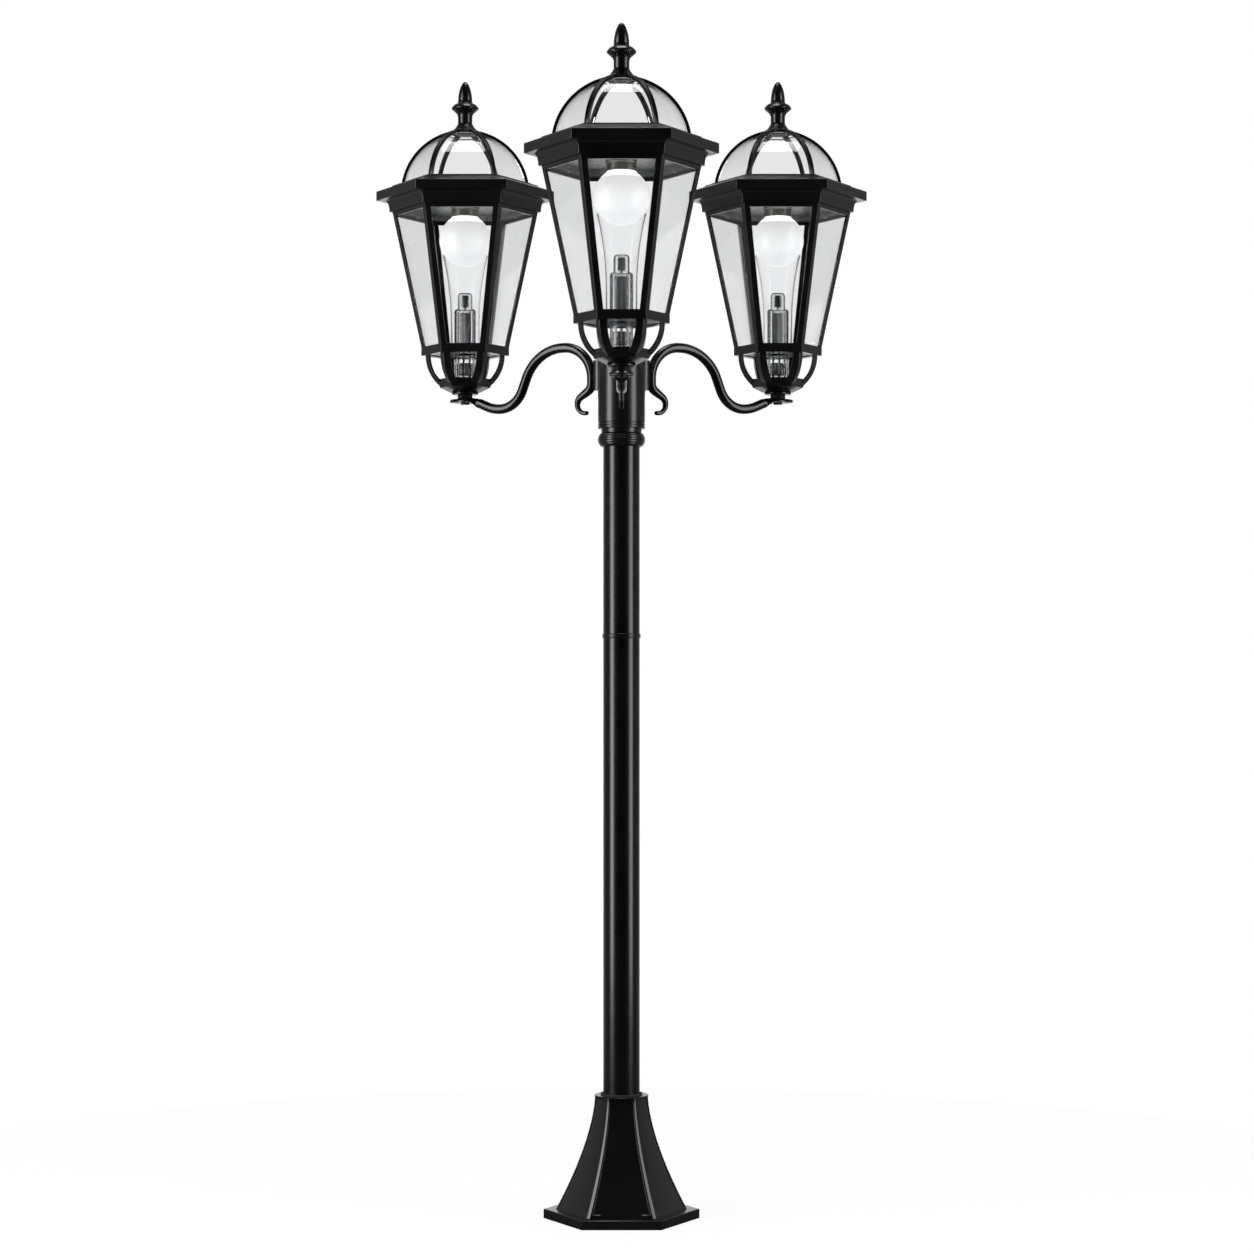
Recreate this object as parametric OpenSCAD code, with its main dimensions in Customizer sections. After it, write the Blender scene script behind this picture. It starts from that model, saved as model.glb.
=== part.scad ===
// Garden lamp post with three six-sided solar lanterns on scroll arms.
// Millimetres. Z is up, and the origin is the middle of the base plate's underside.
// One arm points along -Y, the other two are a third of a turn away on either side.

/* [Base] */
// Corner radius of the six-sided base plate
plate_r = 147; // [140:1:160]
// Thickness of the base plate
plate_t = 17.5; // [12:0.5:25]
// Height of the socket that holds the pole's foot
boss_h = 60; // [40:1:75]
// Wall of that socket
boss_wall = 7.2; // [5:0.2:9]
// Diameter of the circle through the anchor holes
anchor_pcd = 160; // [150:1:164]
// Number of anchor holes
anchor_count = 4; // [3:1:6]
// Radius of an anchor hole
anchor_hole_r = 5.5; // [4.5:0.5:7]

/* [Base cover] */
// Corner radius of the cover where it stands on the plate
cover_foot_r = 125; // [121:1:130]
// Height of the flared cover
cover_h = 215.5; // [200:1:240]
// Radius of the round disc on top of the cover
cover_top_r = 51; // [48:1:56]
// Thickness of that disc
cover_disc_t = 3; // [2:0.5:5]
// Wall of the cover
cover_wall = 5; // [4:0.5:6]
// How hollow the flare is: 1 is a straight cone
flare_power = 1.55; // [1.3:0.05:1.8]
// Depth of the sunk panel on each side of the cover
panel_depth = 2; // [1:0.5:3]
// Width of the raised strip beside each corner
strip_w = 4.5; // [3:0.5:7]
// Height of the border under each sunk panel
panel_border = 5; // [3:0.5:9]
// How far the cover's rubber ring stands over the disc
grommet_h = 3.5; // [2:0.5:6]

/* [Pole] */
// Outer diameter of the pole
pole_d = 69; // [66:1:74]
// Wall of the pole
pole_wall = 2.5; // [2:0.5:4]
// Length of the lower pole
lower_pole_len = 1079.5; // [900:5:1300]
// Length of the upper pole above the joint
upper_pole_len = 506; // [450:2:560]
// Length of the upper pole's spigot inside the lower pole
spigot_len = 120; // [80:5:160]
// Height of the ring over the joint
joint_ring_h = 9.5; // [8:0.5:14]
// How far the joint ring stands out from the pole
joint_ring_out = 2; // [1.6:0.2:4]

/* [Hub] */
// Outer diameter of the hub sleeve
hub_d = 89; // [87:1:96]
// Height of the hub sleeve
hub_h = 136; // [130:1:150]
// How far the pole's end stays below the hub's top
pole_end_drop = 20; // [16:1:26]
// Height of the domed cap above the hub
cap_rise = 13; // [8:1:18]
// Height of the ringed collar under the hub
collar_h = 27; // [24:1:34]
// Radius of the collar's widest bead
collar_r = 45; // [44:0.5:48]
// Height of the plain neck between collar and hub
collar_neck_h = 7; // [4:0.5:10]

/* [Arm] */
// Radius of the arm's round bar
bar_r = 9.4; // [8.5:0.1:10]
// Radial thickness of the pad between hub and bar
pad_t = 11; // [10:0.5:14]
// Height of that pad
pad_h = 57; // [50:1:62]
// Width of that pad
pad_w = 17; // [15:0.5:18]
// Height of the hook's start above the hub's lower edge
hook_start = 90; // [80:1:88]
// Length of the upright stretch against the pad
upright_len = 9; // [7:0.5:16]
// Radius of the arch beside the hub
arch_in_r = 61; // [56:1:66]
// Length of the level stretch on top of the arch
arch_len = 5; // [2:0.5:10]
// Radius of the arch on its outer side
arch_out_r = 86; // [80:1:92]
// Angle of the falling stretch below the level
fall_angle = 68; // [64:1:72]
// Length of the falling stretch
fall_len = 24.5; // [18:0.5:34]
// Radius of the bottom bend, pole side
bend_in_r = 54; // [48:1:60]
// Radius of the bottom bend, lantern side
bend_out_r = 80; // [72:1:90]
// Angle at which the bar climbs to the seat
climb_angle = 23; // [20:1:26]
// Length of the climbing stretch
climb_len = 16.4; // [12:0.2:24]
// Radius of the hook's first bend
hook_in_r = 18; // [15:0.5:24]
// Angle at which the hook leaves the upright
hook_angle = 57; // [50:1:66]
// Length of the hook's slanting stretch
hook_run = 19; // [14:0.5:24]
// Radius of the hook's curl
hook_curl_r = 16.9; // [15:0.1:20]
// Radius of the hook's tip
hook_tip_r = 4.2; // [3:0.2:6]
// Distance from the bar's end to the lantern's middle
seat_run = 34.6; // [30:0.2:40]
// How far the leaf-shaped seat reaches past the lantern's middle
leaf_half_len = 35; // [30:1:40]
// Half width of the seat
leaf_half_w = 23; // [20:0.5:27]
// Thickness of the seat
leaf_t = 8; // [6:0.5:10]

/* [Lantern foot] */
// Height of the lock nut under the lantern
nut_h = 8; // [6:0.5:12]
// Corner radius of the lock nut
nut_r = 14.6; // [13:0.2:18]
// Radius of the bolt that holds the lantern
seat_bolt_r = 5; // [4:0.5:6]
// Height of the bolt's low head
bolt_head_h = 3; // [2:0.5:5]
// How far the bolt screws into the lantern foot
bolt_grip = 14; // [8:1:16]
// Radius of the lantern's round foot
foot_r = 26; // [22:0.5:30]
// Height of the round foot
foot_h = 4; // [3:0.5:8]
// Height of the six-sided underside
under_h = 10; // [8:0.5:16]
// Height of the six-sided cup
cup_h = 16; // [12:0.5:22]
// Corner radius of the cup's lower edge
cup_low_r = 49; // [45:0.5:53]
// Corner radius of the cup's upper edge
cup_top_r = 55; // [54:0.5:62]
// Wall of the cup
cup_wall = 5; // [3:0.5:7]
// Height of the open basket between cup and lower ring
basket_h = 46; // [40:1:60]
// Width of a basket rib
rib_w = 13; // [8:0.5:16]
// Thickness of a basket rib
rib_t = 8; // [5:0.5:10]
// How far the ribs bow out past the cup's upper edge
rib_bow = 6.6; // [3:0.2:9]

/* [Lantern cage] */
// Corner radius of the lower ring
ring_r = 85.5; // [80:0.5:92]
// Height of the lower ring
ring_h = 17; // [14:0.5:24]
// Corner radius of the cage's upper edge
cage_top_r = 141.5; // [132:0.5:150]
// Height of the cage above the lower ring
cage_h = 262; // [240:1:300]
// Width of each wing of a corner post
post_wing = 11; // [7:0.5:13]
// Thickness of a corner post
post_t = 4; // [3:0.5:5]
// Height of the cage's upper rim
rim_h = 8; // [6:0.5:14]
// Thickness of a glass pane
pane_t = 3; // [2:0.5:4]

/* [Lantern roof] */
// Step from the cage to the cornice
cornice_step = 6; // [4:0.5:10]
// How far the cornice flares out
cornice_flare = 8.5; // [5:0.5:12]
// Height of the cornice
cornice_h = 22; // [18:0.5:28]
// How far the eave reaches past the cornice
eave_out = 17; // [15:0.5:24]
// Height of the eave's upright edge
eave_h = 18; // [15:0.5:24]
// Level run of the roof's slope
slope_run = 31; // [25:0.5:38]
// Rise of the roof's slope
slope_h = 10; // [9:0.5:16]
// Upright lip at the edge of the roof's deck
lip_h = 2; // [1:0.5:4]
// Wall of the roof casting
roof_wall = 3; // [2.5:0.5:4.5]
// Depth of the ceiling plate's sunk middle
pan_rise = 8; // [5:0.5:12]
// Thickness of the sheet-metal plates
sheet_t = 1.2; // [0.8:0.1:2]

/* [Dome] */
// Radius of the dome's ribs at a corner
dome_r = 125; // [118:1:130]
// How far the middle of that curve lies below the deck
dome_sink = 17; // [12:1:24]
// Width of a dome rib
dome_rib_w = 8.5; // [6:0.5:11]
// Thickness of a dome rib
dome_rib_t = 6; // [4:0.5:9]
// Thickness of a dome pane
dome_pane_t = 2.5; // [2:0.5:4]
// Radius of the round crown under the finial
crown_r = 27; // [24:0.5:32]
// Thickness of the crown
crown_t = 7; // [5:0.5:10]
// Height of the ring at the dome's foot
dome_ring_h = 4; // [3:0.5:6]
// Thickness of the solar panel
panel_t = 4; // [3:0.5:6]

/* [Finial] */
// Height of the finial
finial_h = 95; // [85:1:110]
// Radius of the finial's foot
finial_foot_r = 22; // [18:0.5:24]
// Radius of the finial's neck
finial_neck_r = 14.1; // [11:0.1:15]
// Radius of the finial's collar
finial_collar_r = 26.5; // [22:0.5:30]
// Radius of the spire's base
finial_spire_r = 14; // [12:0.5:17]

/* [Light] */
// Radius of the round bulb
bulb_r = 50; // [46:1:54]
// Radius of the bulb's neck
bulb_neck_r = 20; // [17:0.5:22]
// Wall of the bulb
bulb_wall = 1.8; // [1.2:0.2:3]
// Radius of the lamp socket
socket_r = 28; // [25:0.5:32]
// Height of the lamp socket
socket_h = 19; // [15:0.5:24]
// Radius of the chimney's straight tube
chimney_r = 28; // [26:0.5:32]
// Wall of the chimney
chimney_wall = 2; // [1.5:0.5:2.5]
// Length of the chimney's straight tube
chimney_tube_len = 62; // [50:1:80]
// How far the chimney's rim lies below the bulb's middle
bulb_dip = 30; // [24:1:34]
// Radius of the fluted glass column
column_r = 21; // [19:0.5:22.5]
// Length of the fluted column
column_len = 141; // [130:1:150]
// Radius of the column's narrow top
column_top_r = 14.5; // [12:0.5:17]
// Length of the column's narrow top
column_top_len = 34; // [28:1:40]
// Number of flutes round the column
flute_count = 14; // [10:1:18]

/* [Power parts] */
// Radius of a battery cell
cell_r = 9; // [7:0.5:9.5]
// Length of a battery cell
cell_len = 65; // [50:1:70]
// Length of the circuit board
board_len = 80; // [60:1:90]
// Width of the circuit board
board_w = 46; // [36:1:50]
// Travel of the switch to each side
switch_travel = 3; // [2:0.5:4]
// Length of the switch knob
knob_len = 8; // [6:0.5:10]
// Width of the switch knob
knob_w = 5.4; // [4:0.2:6]

/* [Hidden] */
$fn = 64;

FRONT = -90;
RIGHT = 30;
LEFT = 150;
HEADS = [FRONT, RIGHT, LEFT];
FACES = [30 : 60 : 330];
CORNERS = [0 : 60 : 300];

// Clearance of pieces that slip over each other, and of glass in its seat
slip = 0.3;
// Clearance of a screw in its hole
screw_slip = 0.1;
// How far a cutter runs past a face
over = 1;

// Flats are this share of the corner radius away from the middle of a hexagon
flat = cos(30);
function half_side(apothem) = apothem * tan(30);
function mix(a, b, t) = a + (b - a) * t;

// Pole and base heights
pole_r = pole_d / 2;
pole_bore = pole_r - pole_wall;
boss_r = pole_r + slip + boss_wall;
cover_z = plate_t;
cover_top_z = cover_z + cover_h;
joint_z = plate_t + lower_pole_len;
pole_end_z = joint_z + upper_pole_len;
anchor_ring_r = anchor_pcd / 2;
set_screw_r = 4;
grommet_wall = 2.2;
cover_hole_r = pole_r + slip + grommet_wall;

// Hub heights
hub_r = hub_d / 2;
hub_z = pole_end_z + pole_end_drop - hub_h;
collar_neck_r = pole_r + 3.7;
arm_screw_r = 4;
arm_screw_head_r = 7.2;
arm_screw_head_t = 4;

// The bar's middle line, seen from the side: distance from the pole's axis, and height
upright_x = hub_r + pad_t + bar_r;
hook_z = hub_z + hook_start;
arch_z = hook_z + upright_len;
seat_x = upright_x + arch_in_r + arch_len + arch_out_r * sin(fall_angle) + fall_len * cos(fall_angle)
  + bend_in_r * sin(fall_angle) + bend_out_r * sin(climb_angle) + climb_len * cos(climb_angle);
seat_end_z = arch_z + arch_in_r - arch_out_r * (1 - cos(fall_angle)) - fall_len * sin(fall_angle)
  - bend_in_r * (1 - cos(fall_angle)) + bend_out_r * (1 - cos(climb_angle))
  + climb_len * sin(climb_angle);
head_x = seat_x + seat_run;
leaf_lift = 6.5;
seat_z = seat_end_z + leaf_lift + leaf_t / 2;
arm_screw_z = hook_z + upright_len / 2;
pad_z = hub_z + hub_h - 4 - pad_h;

// Lantern heights above the seat
foot_z = nut_h;
under_z = foot_z + foot_h;
cup_z = under_z + under_h;
basket_z = cup_z + cup_h;
ring_z = basket_z + basket_h;
cage_z = ring_z + ring_h;
roof_z = cage_z + cage_h;
soffit_z = roof_z + cornice_h;
eave_top_z = soffit_z + eave_h;
deck_z = eave_top_z + slope_h + lip_h;
cup_floor_z = cup_z + cup_h / 2;
ledge_h = 2;
floor_z = ring_z + ledge_h;

// Lantern apothems
ring_a = ring_r * flat;
ring_bore_a = ring_a - post_t - pane_t - 1;
ledge_a = ring_bore_a - 6;
cage_top_a = cage_top_r * flat;
cage_slope = (cage_top_a - ring_a) / cage_h;
function cage_a(z) = ring_a + max(0, z - cage_z) * cage_slope;
rebate = 1;
sill_z = cage_z - rebate;
rim_z = roof_z - rim_h;
head_z = rim_z + rebate;
rim_bore_a = cage_a(rim_z) - post_t - 0.5;
cornice_low_a = (cage_top_r + cornice_step) * flat;
cornice_top_a = (cage_top_r + cornice_step + cornice_flare) * flat;
eave_a = (cage_top_r + cornice_step + cornice_flare + eave_out) * flat;
deck_r = cage_top_r + cornice_step + cornice_flare + eave_out - slope_run;
deck_a = deck_r * flat;

// Ceiling plate
plate_a = rim_bore_a - 0.5;
pan_a = plate_a - 15;
pan_z = roof_z - sheet_t;
pan_top_z = roof_z + pan_rise;
roof_screw_a = (plate_a + pan_a) / 2 + sheet_t / 2;
roof_screw_shank_r = 2;
roof_screw_head_r = 3.6;
roof_screw_head_h = 2.2;
roof_screw_len = 5;
roof_rim_t = 6;
lead_hole_r = 5;

// Dome: the ribs are parts of a circle whose middle lies below the deck
dome_foot_r = sqrt(dome_r * dome_r - dome_sink * dome_sink);
dome_mid_z = deck_z - dome_sink;
dome_top_z = dome_mid_z + dome_r - 1.5;
dome_rib_start = crown_r - 5;
dome_pane_r = dome_r - dome_rib_t - slip;
dome_ring_out_a = (dome_foot_r + 5) * flat;
dome_ring_in_a = (dome_foot_r - 12) * flat;
solar_a = dome_ring_in_a - 1;
stud_r = 4;

// Light
socket_z = pan_top_z - socket_h;
bulb_z = socket_z - 2.6 - sqrt(bulb_r * bulb_r - socket_r * socket_r);
chimney_rim_z = bulb_z - bulb_dip;
chimney_rim_r = sqrt(bulb_r * bulb_r - bulb_dip * bulb_dip) + 2 + chimney_wall;
chimney_z = floor_z + sheet_t;

// Switch in the soffit, on the lantern's far side
knob_a = (cornice_top_a + eave_a - roof_wall) / 2;
knob_drop = 3;
flange_over = 1.8;
flange_t = 1.5;
flange_z = soffit_z + roof_wall + slip;
flange_w = knob_w + 2 * flange_over;
flange_len = knob_len + 2 * switch_travel + 2 * flange_over + 2;
switch_body_z = flange_z + flange_t + slip;

// A six-sided body with flats towards -Y, from [apothem, height] points going up
module six_sided(points) {
  last = len(points) - 1;
  outline = [for (p = points) [p[0] / flat, p[1]]];
  rotate_extrude($fn = 6)
    polygon(concat([[0, points[0][1]]], outline, [[0, points[last][1]]]));
}

// A piece on one face: its outline seen from the side and its outline seen from the front
module on_face(turn, side_view, front_view) {
  reach = 2.4 * max([for (p = side_view) p[0]]);
  rotate([0, 0, turn])
    intersection() {
      rotate([90, 0, 0])
        linear_extrude(height = reach, center = true) polygon(side_view);
      rotate([90, 0, 90])
        linear_extrude(height = reach) polygon(front_view);
    }
}

// A bar's middle line as a walk: each move is a straight length, or [bend radius, bend angle].
// It sets out upwards, and a bend with a plus sign turns towards +X. Where two moves meet,
// both stop a little short inside a ball that is hardly thicker than the bar.
function joint_ball(r) = 1.026 * r;
function degrees(length, radius) = length / radius * 180 / PI;

module walk(r, moves, i = 0) {
  bend = is_list(moves[i]) ? moves[i][0] : 0;
  angle = is_list(moves[i]) ? moves[i][1] : 0;
  length = is_list(moves[i]) ? 0 : moves[i];
  side = angle < 0 ? -1 : 1;
  start = i > 0 ? 0.1 * r : 0;
  stop = i < len(moves) - 1 ? 0.1 * r : 0;
  if (length > 0)
    translate([0, 0, start]) cylinder(h = length - start - stop, r = r);
  if (bend > 0)
    rotate([0, 0, side < 0 ? 180 : 0])
      translate([bend, 0, 0])
        rotate([90, 0, 180])
          rotate([0, 0, degrees(start, bend)])
            rotate_extrude(angle = abs(angle) - degrees(start + stop, bend))
              translate([bend, 0]) circle(r = r);
  if (i < len(moves) - 1)
    translate([side * bend * (1 - cos(angle)), 0, length + bend * sin(abs(angle))])
      rotate([0, angle, 0]) {
        sphere(r = joint_ball(r));
        walk(r, moves, i + 1);
      }
}

module at_head(side) {
  translate([head_x * cos(side), head_x * sin(side), seat_z]) children();
}

// Base plate: a six-sided plate with the pole's socket and the anchor holes
plate_edge = 1.5;
boss_screw_z = plate_t + boss_h / 2;

module base_plate() color("#17181a") {
  difference() {
    union() {
      six_sided([
        [plate_r * flat, 0],
        [plate_r * flat, plate_t - plate_edge],
        [plate_r * flat - plate_edge, plate_t]
      ]);
      cylinder(h = plate_t + boss_h, r = boss_r);
    }
    translate([0, 0, plate_t]) cylinder(h = boss_h + over, r = pole_r + slip);
    for (i = [0 : anchor_count - 1])
      rotate([0, 0, (i + 0.5) * 360 / anchor_count])
        translate([anchor_ring_r, 0, -over])
          cylinder(h = plate_t + 2 * over, r = anchor_hole_r);
    for (turn = HEADS)
      rotate([0, 0, turn])
        translate([pole_r, 0, boss_screw_z])
          rotate([0, 90, 0]) cylinder(h = boss_wall + 2 * over, r = set_screw_r + screw_slip);
  }
}

// Base cover: a flared six-sided shell that stands on the plate and can be lifted up the pole
flare_steps = 14;
flare_points = [for (i = [0 : flare_steps]) i / flare_steps];
cover_body_h = cover_h - cover_disc_t;
function flare_r(t) = mix(cover_top_r - 1.5, cover_foot_r, pow(1 - t, flare_power));
function cover_a(t) = flare_r(t) * flat;
function cover_height(t) = cover_z + t * cover_body_h;
panel_foot_t = panel_border / cover_body_h;
panel_points = [for (t = flare_points) mix(panel_foot_t, 0.985, t)];

module sunk_panel(turn) {
  side_in = [for (t = panel_points) [cover_a(t) - panel_depth, cover_height(t)]];
  side_out = [for (i = [flare_steps : -1 : 0]) [cover_a(panel_points[i]) + over, cover_height(panel_points[i])]];
  edge = [for (t = panel_points) [half_side(cover_a(t)) - strip_w, cover_height(t)]];
  edge_back = [for (i = [flare_steps : -1 : 0]) [-edge[i][0], edge[i][1]]];
  on_face(turn, concat(side_in, side_out), concat(edge, edge_back));
}

module base_cover() color("#17181a") {
  difference() {
    union() {
      six_sided(concat(
        [for (t = flare_points) [cover_a(t), cover_height(t)]],
        [[cover_a(1), cover_top_z - cover_disc_t / 2]]
      ));
      translate([0, 0, cover_top_z - cover_disc_t]) cylinder(h = cover_disc_t, r = cover_top_r);
    }
    six_sided(concat(
      [[cover_a(0) - cover_wall, cover_z - over]],
      [for (t = flare_points) if (t < 0.96) [cover_a(t) - cover_wall, cover_height(t)]]
    ));
    for (turn = FACES) sunk_panel(turn);
    translate([0, 0, cover_z]) cylinder(h = cover_h + over, r = cover_hole_r);
  }
}

// Rubber ring that seats in the cover's hole and runs along the pole
module cover_ring() color("#101010") {
  translate([0, 0, cover_top_z])
    rotate_extrude()
      union() {
        translate([pole_r + slip, 0]) square([grommet_wall + 2.6, grommet_h]);
        translate([pole_r + slip, -cover_disc_t]) square([grommet_wall - screw_slip, cover_disc_t]);
      }
}

// Pole in two lengths, joined by a spigot
module lower_pole() color("#141517") {
  translate([0, 0, plate_t])
    difference() {
      cylinder(h = lower_pole_len, r = pole_r);
      translate([0, 0, -over]) cylinder(h = lower_pole_len + 2 * over, r = pole_bore);
    }
}

module upper_pole() color("#141517") {
  spigot_r = pole_bore - screw_slip;
  difference() {
    union() {
      translate([0, 0, joint_z]) cylinder(h = upper_pole_len, r = pole_r);
      translate([0, 0, joint_z - spigot_len]) cylinder(h = spigot_len, r = spigot_r);
    }
    translate([0, 0, joint_z - spigot_len - over])
      cylinder(h = spigot_len + upper_pole_len + 2 * over, r = spigot_r - pole_wall);
  }
}

// Ring of two beads over the joint
module joint_ring() color("#141517") {
  bead = joint_ring_h / 4;
  translate([0, 0, joint_z - joint_ring_h / 2])
    rotate_extrude()
      intersection() {
        union() {
          translate([pole_r + slip, 0]) square([joint_ring_out / 2, joint_ring_h]);
          for (z = [bead, joint_ring_h - bead])
            translate([pole_r + joint_ring_out - bead, z]) circle(r = bead);
        }
        translate([pole_r + slip, 0]) square([joint_ring_out + over, joint_ring_h]);
      }
}

// Collar: one grooved barrel with a plain neck that the hub stands on
collar_rings = 5;
collar_groove_r = 0.9;

module hub_collar() color("#141517") {
  bulge = collar_r - collar_neck_r;
  half_h = collar_h / 2;
  barrel_r = (half_h * half_h + bulge * bulge) / (2 * bulge);
  barrel_x = collar_r - barrel_r;
  translate([0, 0, hub_z - collar_neck_h - half_h])
    rotate_extrude()
      difference() {
        union() {
          intersection() {
            translate([barrel_x, 0]) circle(r = barrel_r, $fn = 96);
            translate([pole_r + slip, -half_h]) square([collar_r, collar_h]);
          }
          translate([pole_r + slip, -half_h])
            square([collar_neck_r - pole_r - slip, collar_h + collar_neck_h]);
        }
        for (i = [1 : collar_rings - 1])
          let (angle = asin((i / collar_rings - 0.5) * collar_h / barrel_r))
          translate([barrel_x + barrel_r * cos(angle), barrel_r * sin(angle)])
            circle(r = collar_groove_r, $fn = 16);
      }
}

// Hub: a sleeve over the pole's end, with three grooved pads for the arms
groove_d = 1.2;
groove_h = 2;
groove_zs = [4.5, 10];
hub_screw_low = 22;
hub_screw_pitch = 26;
hub_screw_zs = [hub_z + hub_screw_low, hub_z + hub_screw_low + hub_screw_pitch];

module hub_screw_holes(r) {
  for (z = hub_screw_zs)
    translate([0, pole_r, z]) rotate([-90, 0, 0]) cylinder(h = hub_r - pole_r + over, r = r);
}

module hub() color("#17181a") {
  lip = 1.5;
  difference() {
    union() {
      translate([0, 0, hub_z])
        rotate_extrude()
          polygon([
            [pole_r, 0],
            [hub_r - lip, 0],
            [hub_r, lip],
            [hub_r, hub_h - lip],
            [hub_r - lip, hub_h],
            [pole_r, hub_h]
          ]);
      for (turn = HEADS)
        rotate([0, 0, turn])
          translate([pole_r, -pad_w / 2, pad_z]) cube([upright_x - pole_r, pad_w, pad_h]);
    }
    translate([0, 0, hub_z - over]) cylinder(h = hub_h + 2 * over, r = pole_r + slip);
    for (turn = HEADS)
      rotate([0, 0, turn]) {
        translate([upright_x, 0, pad_z - over])
          cylinder(h = pad_h + 2 * over, r = joint_ball(bar_r) + screw_slip);
        arm_screw_hole();
      }
    for (z = groove_zs)
      translate([0, 0, hub_z + z])
        rotate_extrude() translate([hub_r - groove_d, 0]) square([groove_d + over, groove_h]);
    hub_screw_holes(set_screw_r + screw_slip);
  }
}

module hub_cap() color("#17181a") {
  top_z = hub_z + hub_h;
  curve = (hub_r * hub_r + cap_rise * cap_rise) / (2 * cap_rise);
  intersection() {
    translate([0, 0, top_z]) cylinder(h = cap_rise + over, r = hub_r);
    translate([0, 0, top_z + cap_rise - curve]) sphere(r = curve, $fn = 96);
  }
  translate([0, 0, top_z - pole_end_drop / 2])
    cylinder(h = pole_end_drop / 2, r = pole_r + slip - screw_slip);
}

// Arms: a scroll bar with a hook at the hub and a leaf-shaped seat at its far end
arm_screw_len = upright_x - pole_r - slip;

module arm_screw_hole() {
  translate([pole_r + slip, 0, arm_screw_z])
    rotate([0, 90, 0]) {
      translate([0, 0, -over])
        cylinder(h = arm_screw_len + over + screw_slip, r = arm_screw_r + screw_slip);
      translate([0, 0, -over])
        cylinder(h = arm_screw_head_t + screw_slip + over, r = arm_screw_head_r + screw_slip);
    }
}

module leaf(half_len, half_w, h) {
  curve = (half_len * half_len + half_w * half_w) / (2 * half_w);
  linear_extrude(height = h, center = true)
    intersection() {
      translate([0, curve - half_w]) circle(r = curve, $fn = 96);
      translate([0, half_w - curve]) circle(r = curve, $fn = 96);
    }
}

// The hook's tapered end: it curls on below the hook and points back at the hub
tip_steps = 5;
tip_run = 3.5;

module hook_tip() {
  for (i = [0 : tip_steps - 1])
    hull()
      for (t = [mix(0.03, 1, i / tip_steps), mix(0.03, 1, (i + 1) / tip_steps)]) {
        turn = min(90, 108 * t);
        translate([hook_curl_r * cos(turn), 0, -hook_curl_r * sin(turn)])
          rotate([0, turn, 0])
            translate([0, 0, -tip_run * max(0, t - 0.8) / 0.2])
              cylinder(h = 0.1, r = mix(bar_r, hook_tip_r, t), $fn = 32);
      }
}

module arm(side) color("#141517") {
  hook_x = upright_x + hook_in_r * (1 - cos(hook_angle)) + hook_run * sin(hook_angle)
    - hook_curl_r * cos(hook_angle);
  curl_z = hook_z - (hook_in_r + hook_curl_r) * sin(hook_angle) - hook_run * cos(hook_angle);
  inset = 0.5;
  bolt_room = 1.7 * seat_bolt_r + 0.5;
  rotate([0, 0, side])
    difference() {
      union() {
        translate([hook_x + hook_curl_r, 0, curl_z]) {
          sphere(r = joint_ball(bar_r));
          walk(bar_r, [
            [hook_curl_r, -hook_angle],
            hook_run,
            [hook_in_r, hook_angle],
            upright_len,
            [arch_in_r, 90],
            arch_len,
            [arch_out_r, fall_angle],
            fall_len,
            [bend_in_r, -fall_angle],
            [bend_out_r, -climb_angle],
            climb_len
          ]);
        }
        translate([hook_x, 0, curl_z]) hook_tip();
        translate([seat_x, 0, seat_end_z]) sphere(r = joint_ball(bar_r));
        translate([head_x, 0, seat_z - leaf_t / 2]) leaf(leaf_half_len, leaf_half_w, leaf_t);
        hull() {
          translate([seat_x, 0, seat_end_z])
            rotate([0, 90 - climb_angle, 0])
              translate([0, 0, 1]) cylinder(h = 0.1, r = bar_r, $fn = 32);
          intersection() {
            translate([head_x, 0, seat_z - leaf_t / 2])
              leaf(leaf_half_len - inset, leaf_half_w - inset, leaf_t - inset);
            translate([seat_x - bar_r, -leaf_half_w, seat_z - leaf_t])
              cube([head_x - seat_x + bar_r - bolt_room, 2 * leaf_half_w, leaf_t]);
          }
        }
      }
      arm_screw_hole();
      translate([head_x, 0, seat_z - 2 * leaf_t])
        cylinder(h = 3 * leaf_t, r = seat_bolt_r + screw_slip);
    }
}

module arm_front() arm(FRONT);
module arm_right() arm(RIGHT);
module arm_left() arm(LEFT);

// Screws that pull the arms against the pads, put in from inside the hub
module arm_screws() color("silver") {
  for (turn = HEADS)
    rotate([0, 0, turn])
      translate([pole_r + slip, 0, arm_screw_z])
        rotate([0, 90, 0]) {
          cylinder(h = arm_screw_head_t, r = arm_screw_head_r);
          cylinder(h = arm_screw_len, r = arm_screw_r);
        }
}

// Headless screws that grip the pole in its socket and in the hub
module set_screws() color("silver") {
  boss_screw_len = boss_wall - slip;
  for (turn = HEADS)
    rotate([0, 0, turn])
      translate([pole_r + slip, 0, boss_screw_z])
        rotate([0, 90, 0]) cylinder(h = boss_screw_len, r = set_screw_r);
  for (z = hub_screw_zs)
    translate([0, pole_r + slip, z])
      rotate([-90, 0, 0]) cylinder(h = hub_r - pole_r - 1.5, r = set_screw_r);
}

// Lock nuts between seat and lantern, and the bolts that come up through them
module seat_nuts() color("#1c1d1f") {
  for (side = HEADS)
    at_head(side)
      difference() {
        cylinder(h = nut_h, r = nut_r, $fn = 6);
        translate([0, 0, -over]) cylinder(h = nut_h + 2 * over, r = seat_bolt_r + screw_slip);
      }
}

module seat_bolts() color("#1c1d1f") {
  for (side = HEADS)
    at_head(side) {
      translate([0, 0, -leaf_t - bolt_head_h]) cylinder(h = bolt_head_h, r = 1.7 * seat_bolt_r);
      translate([0, 0, -leaf_t]) cylinder(h = leaf_t + nut_h + bolt_grip, r = seat_bolt_r);
    }
}

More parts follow.
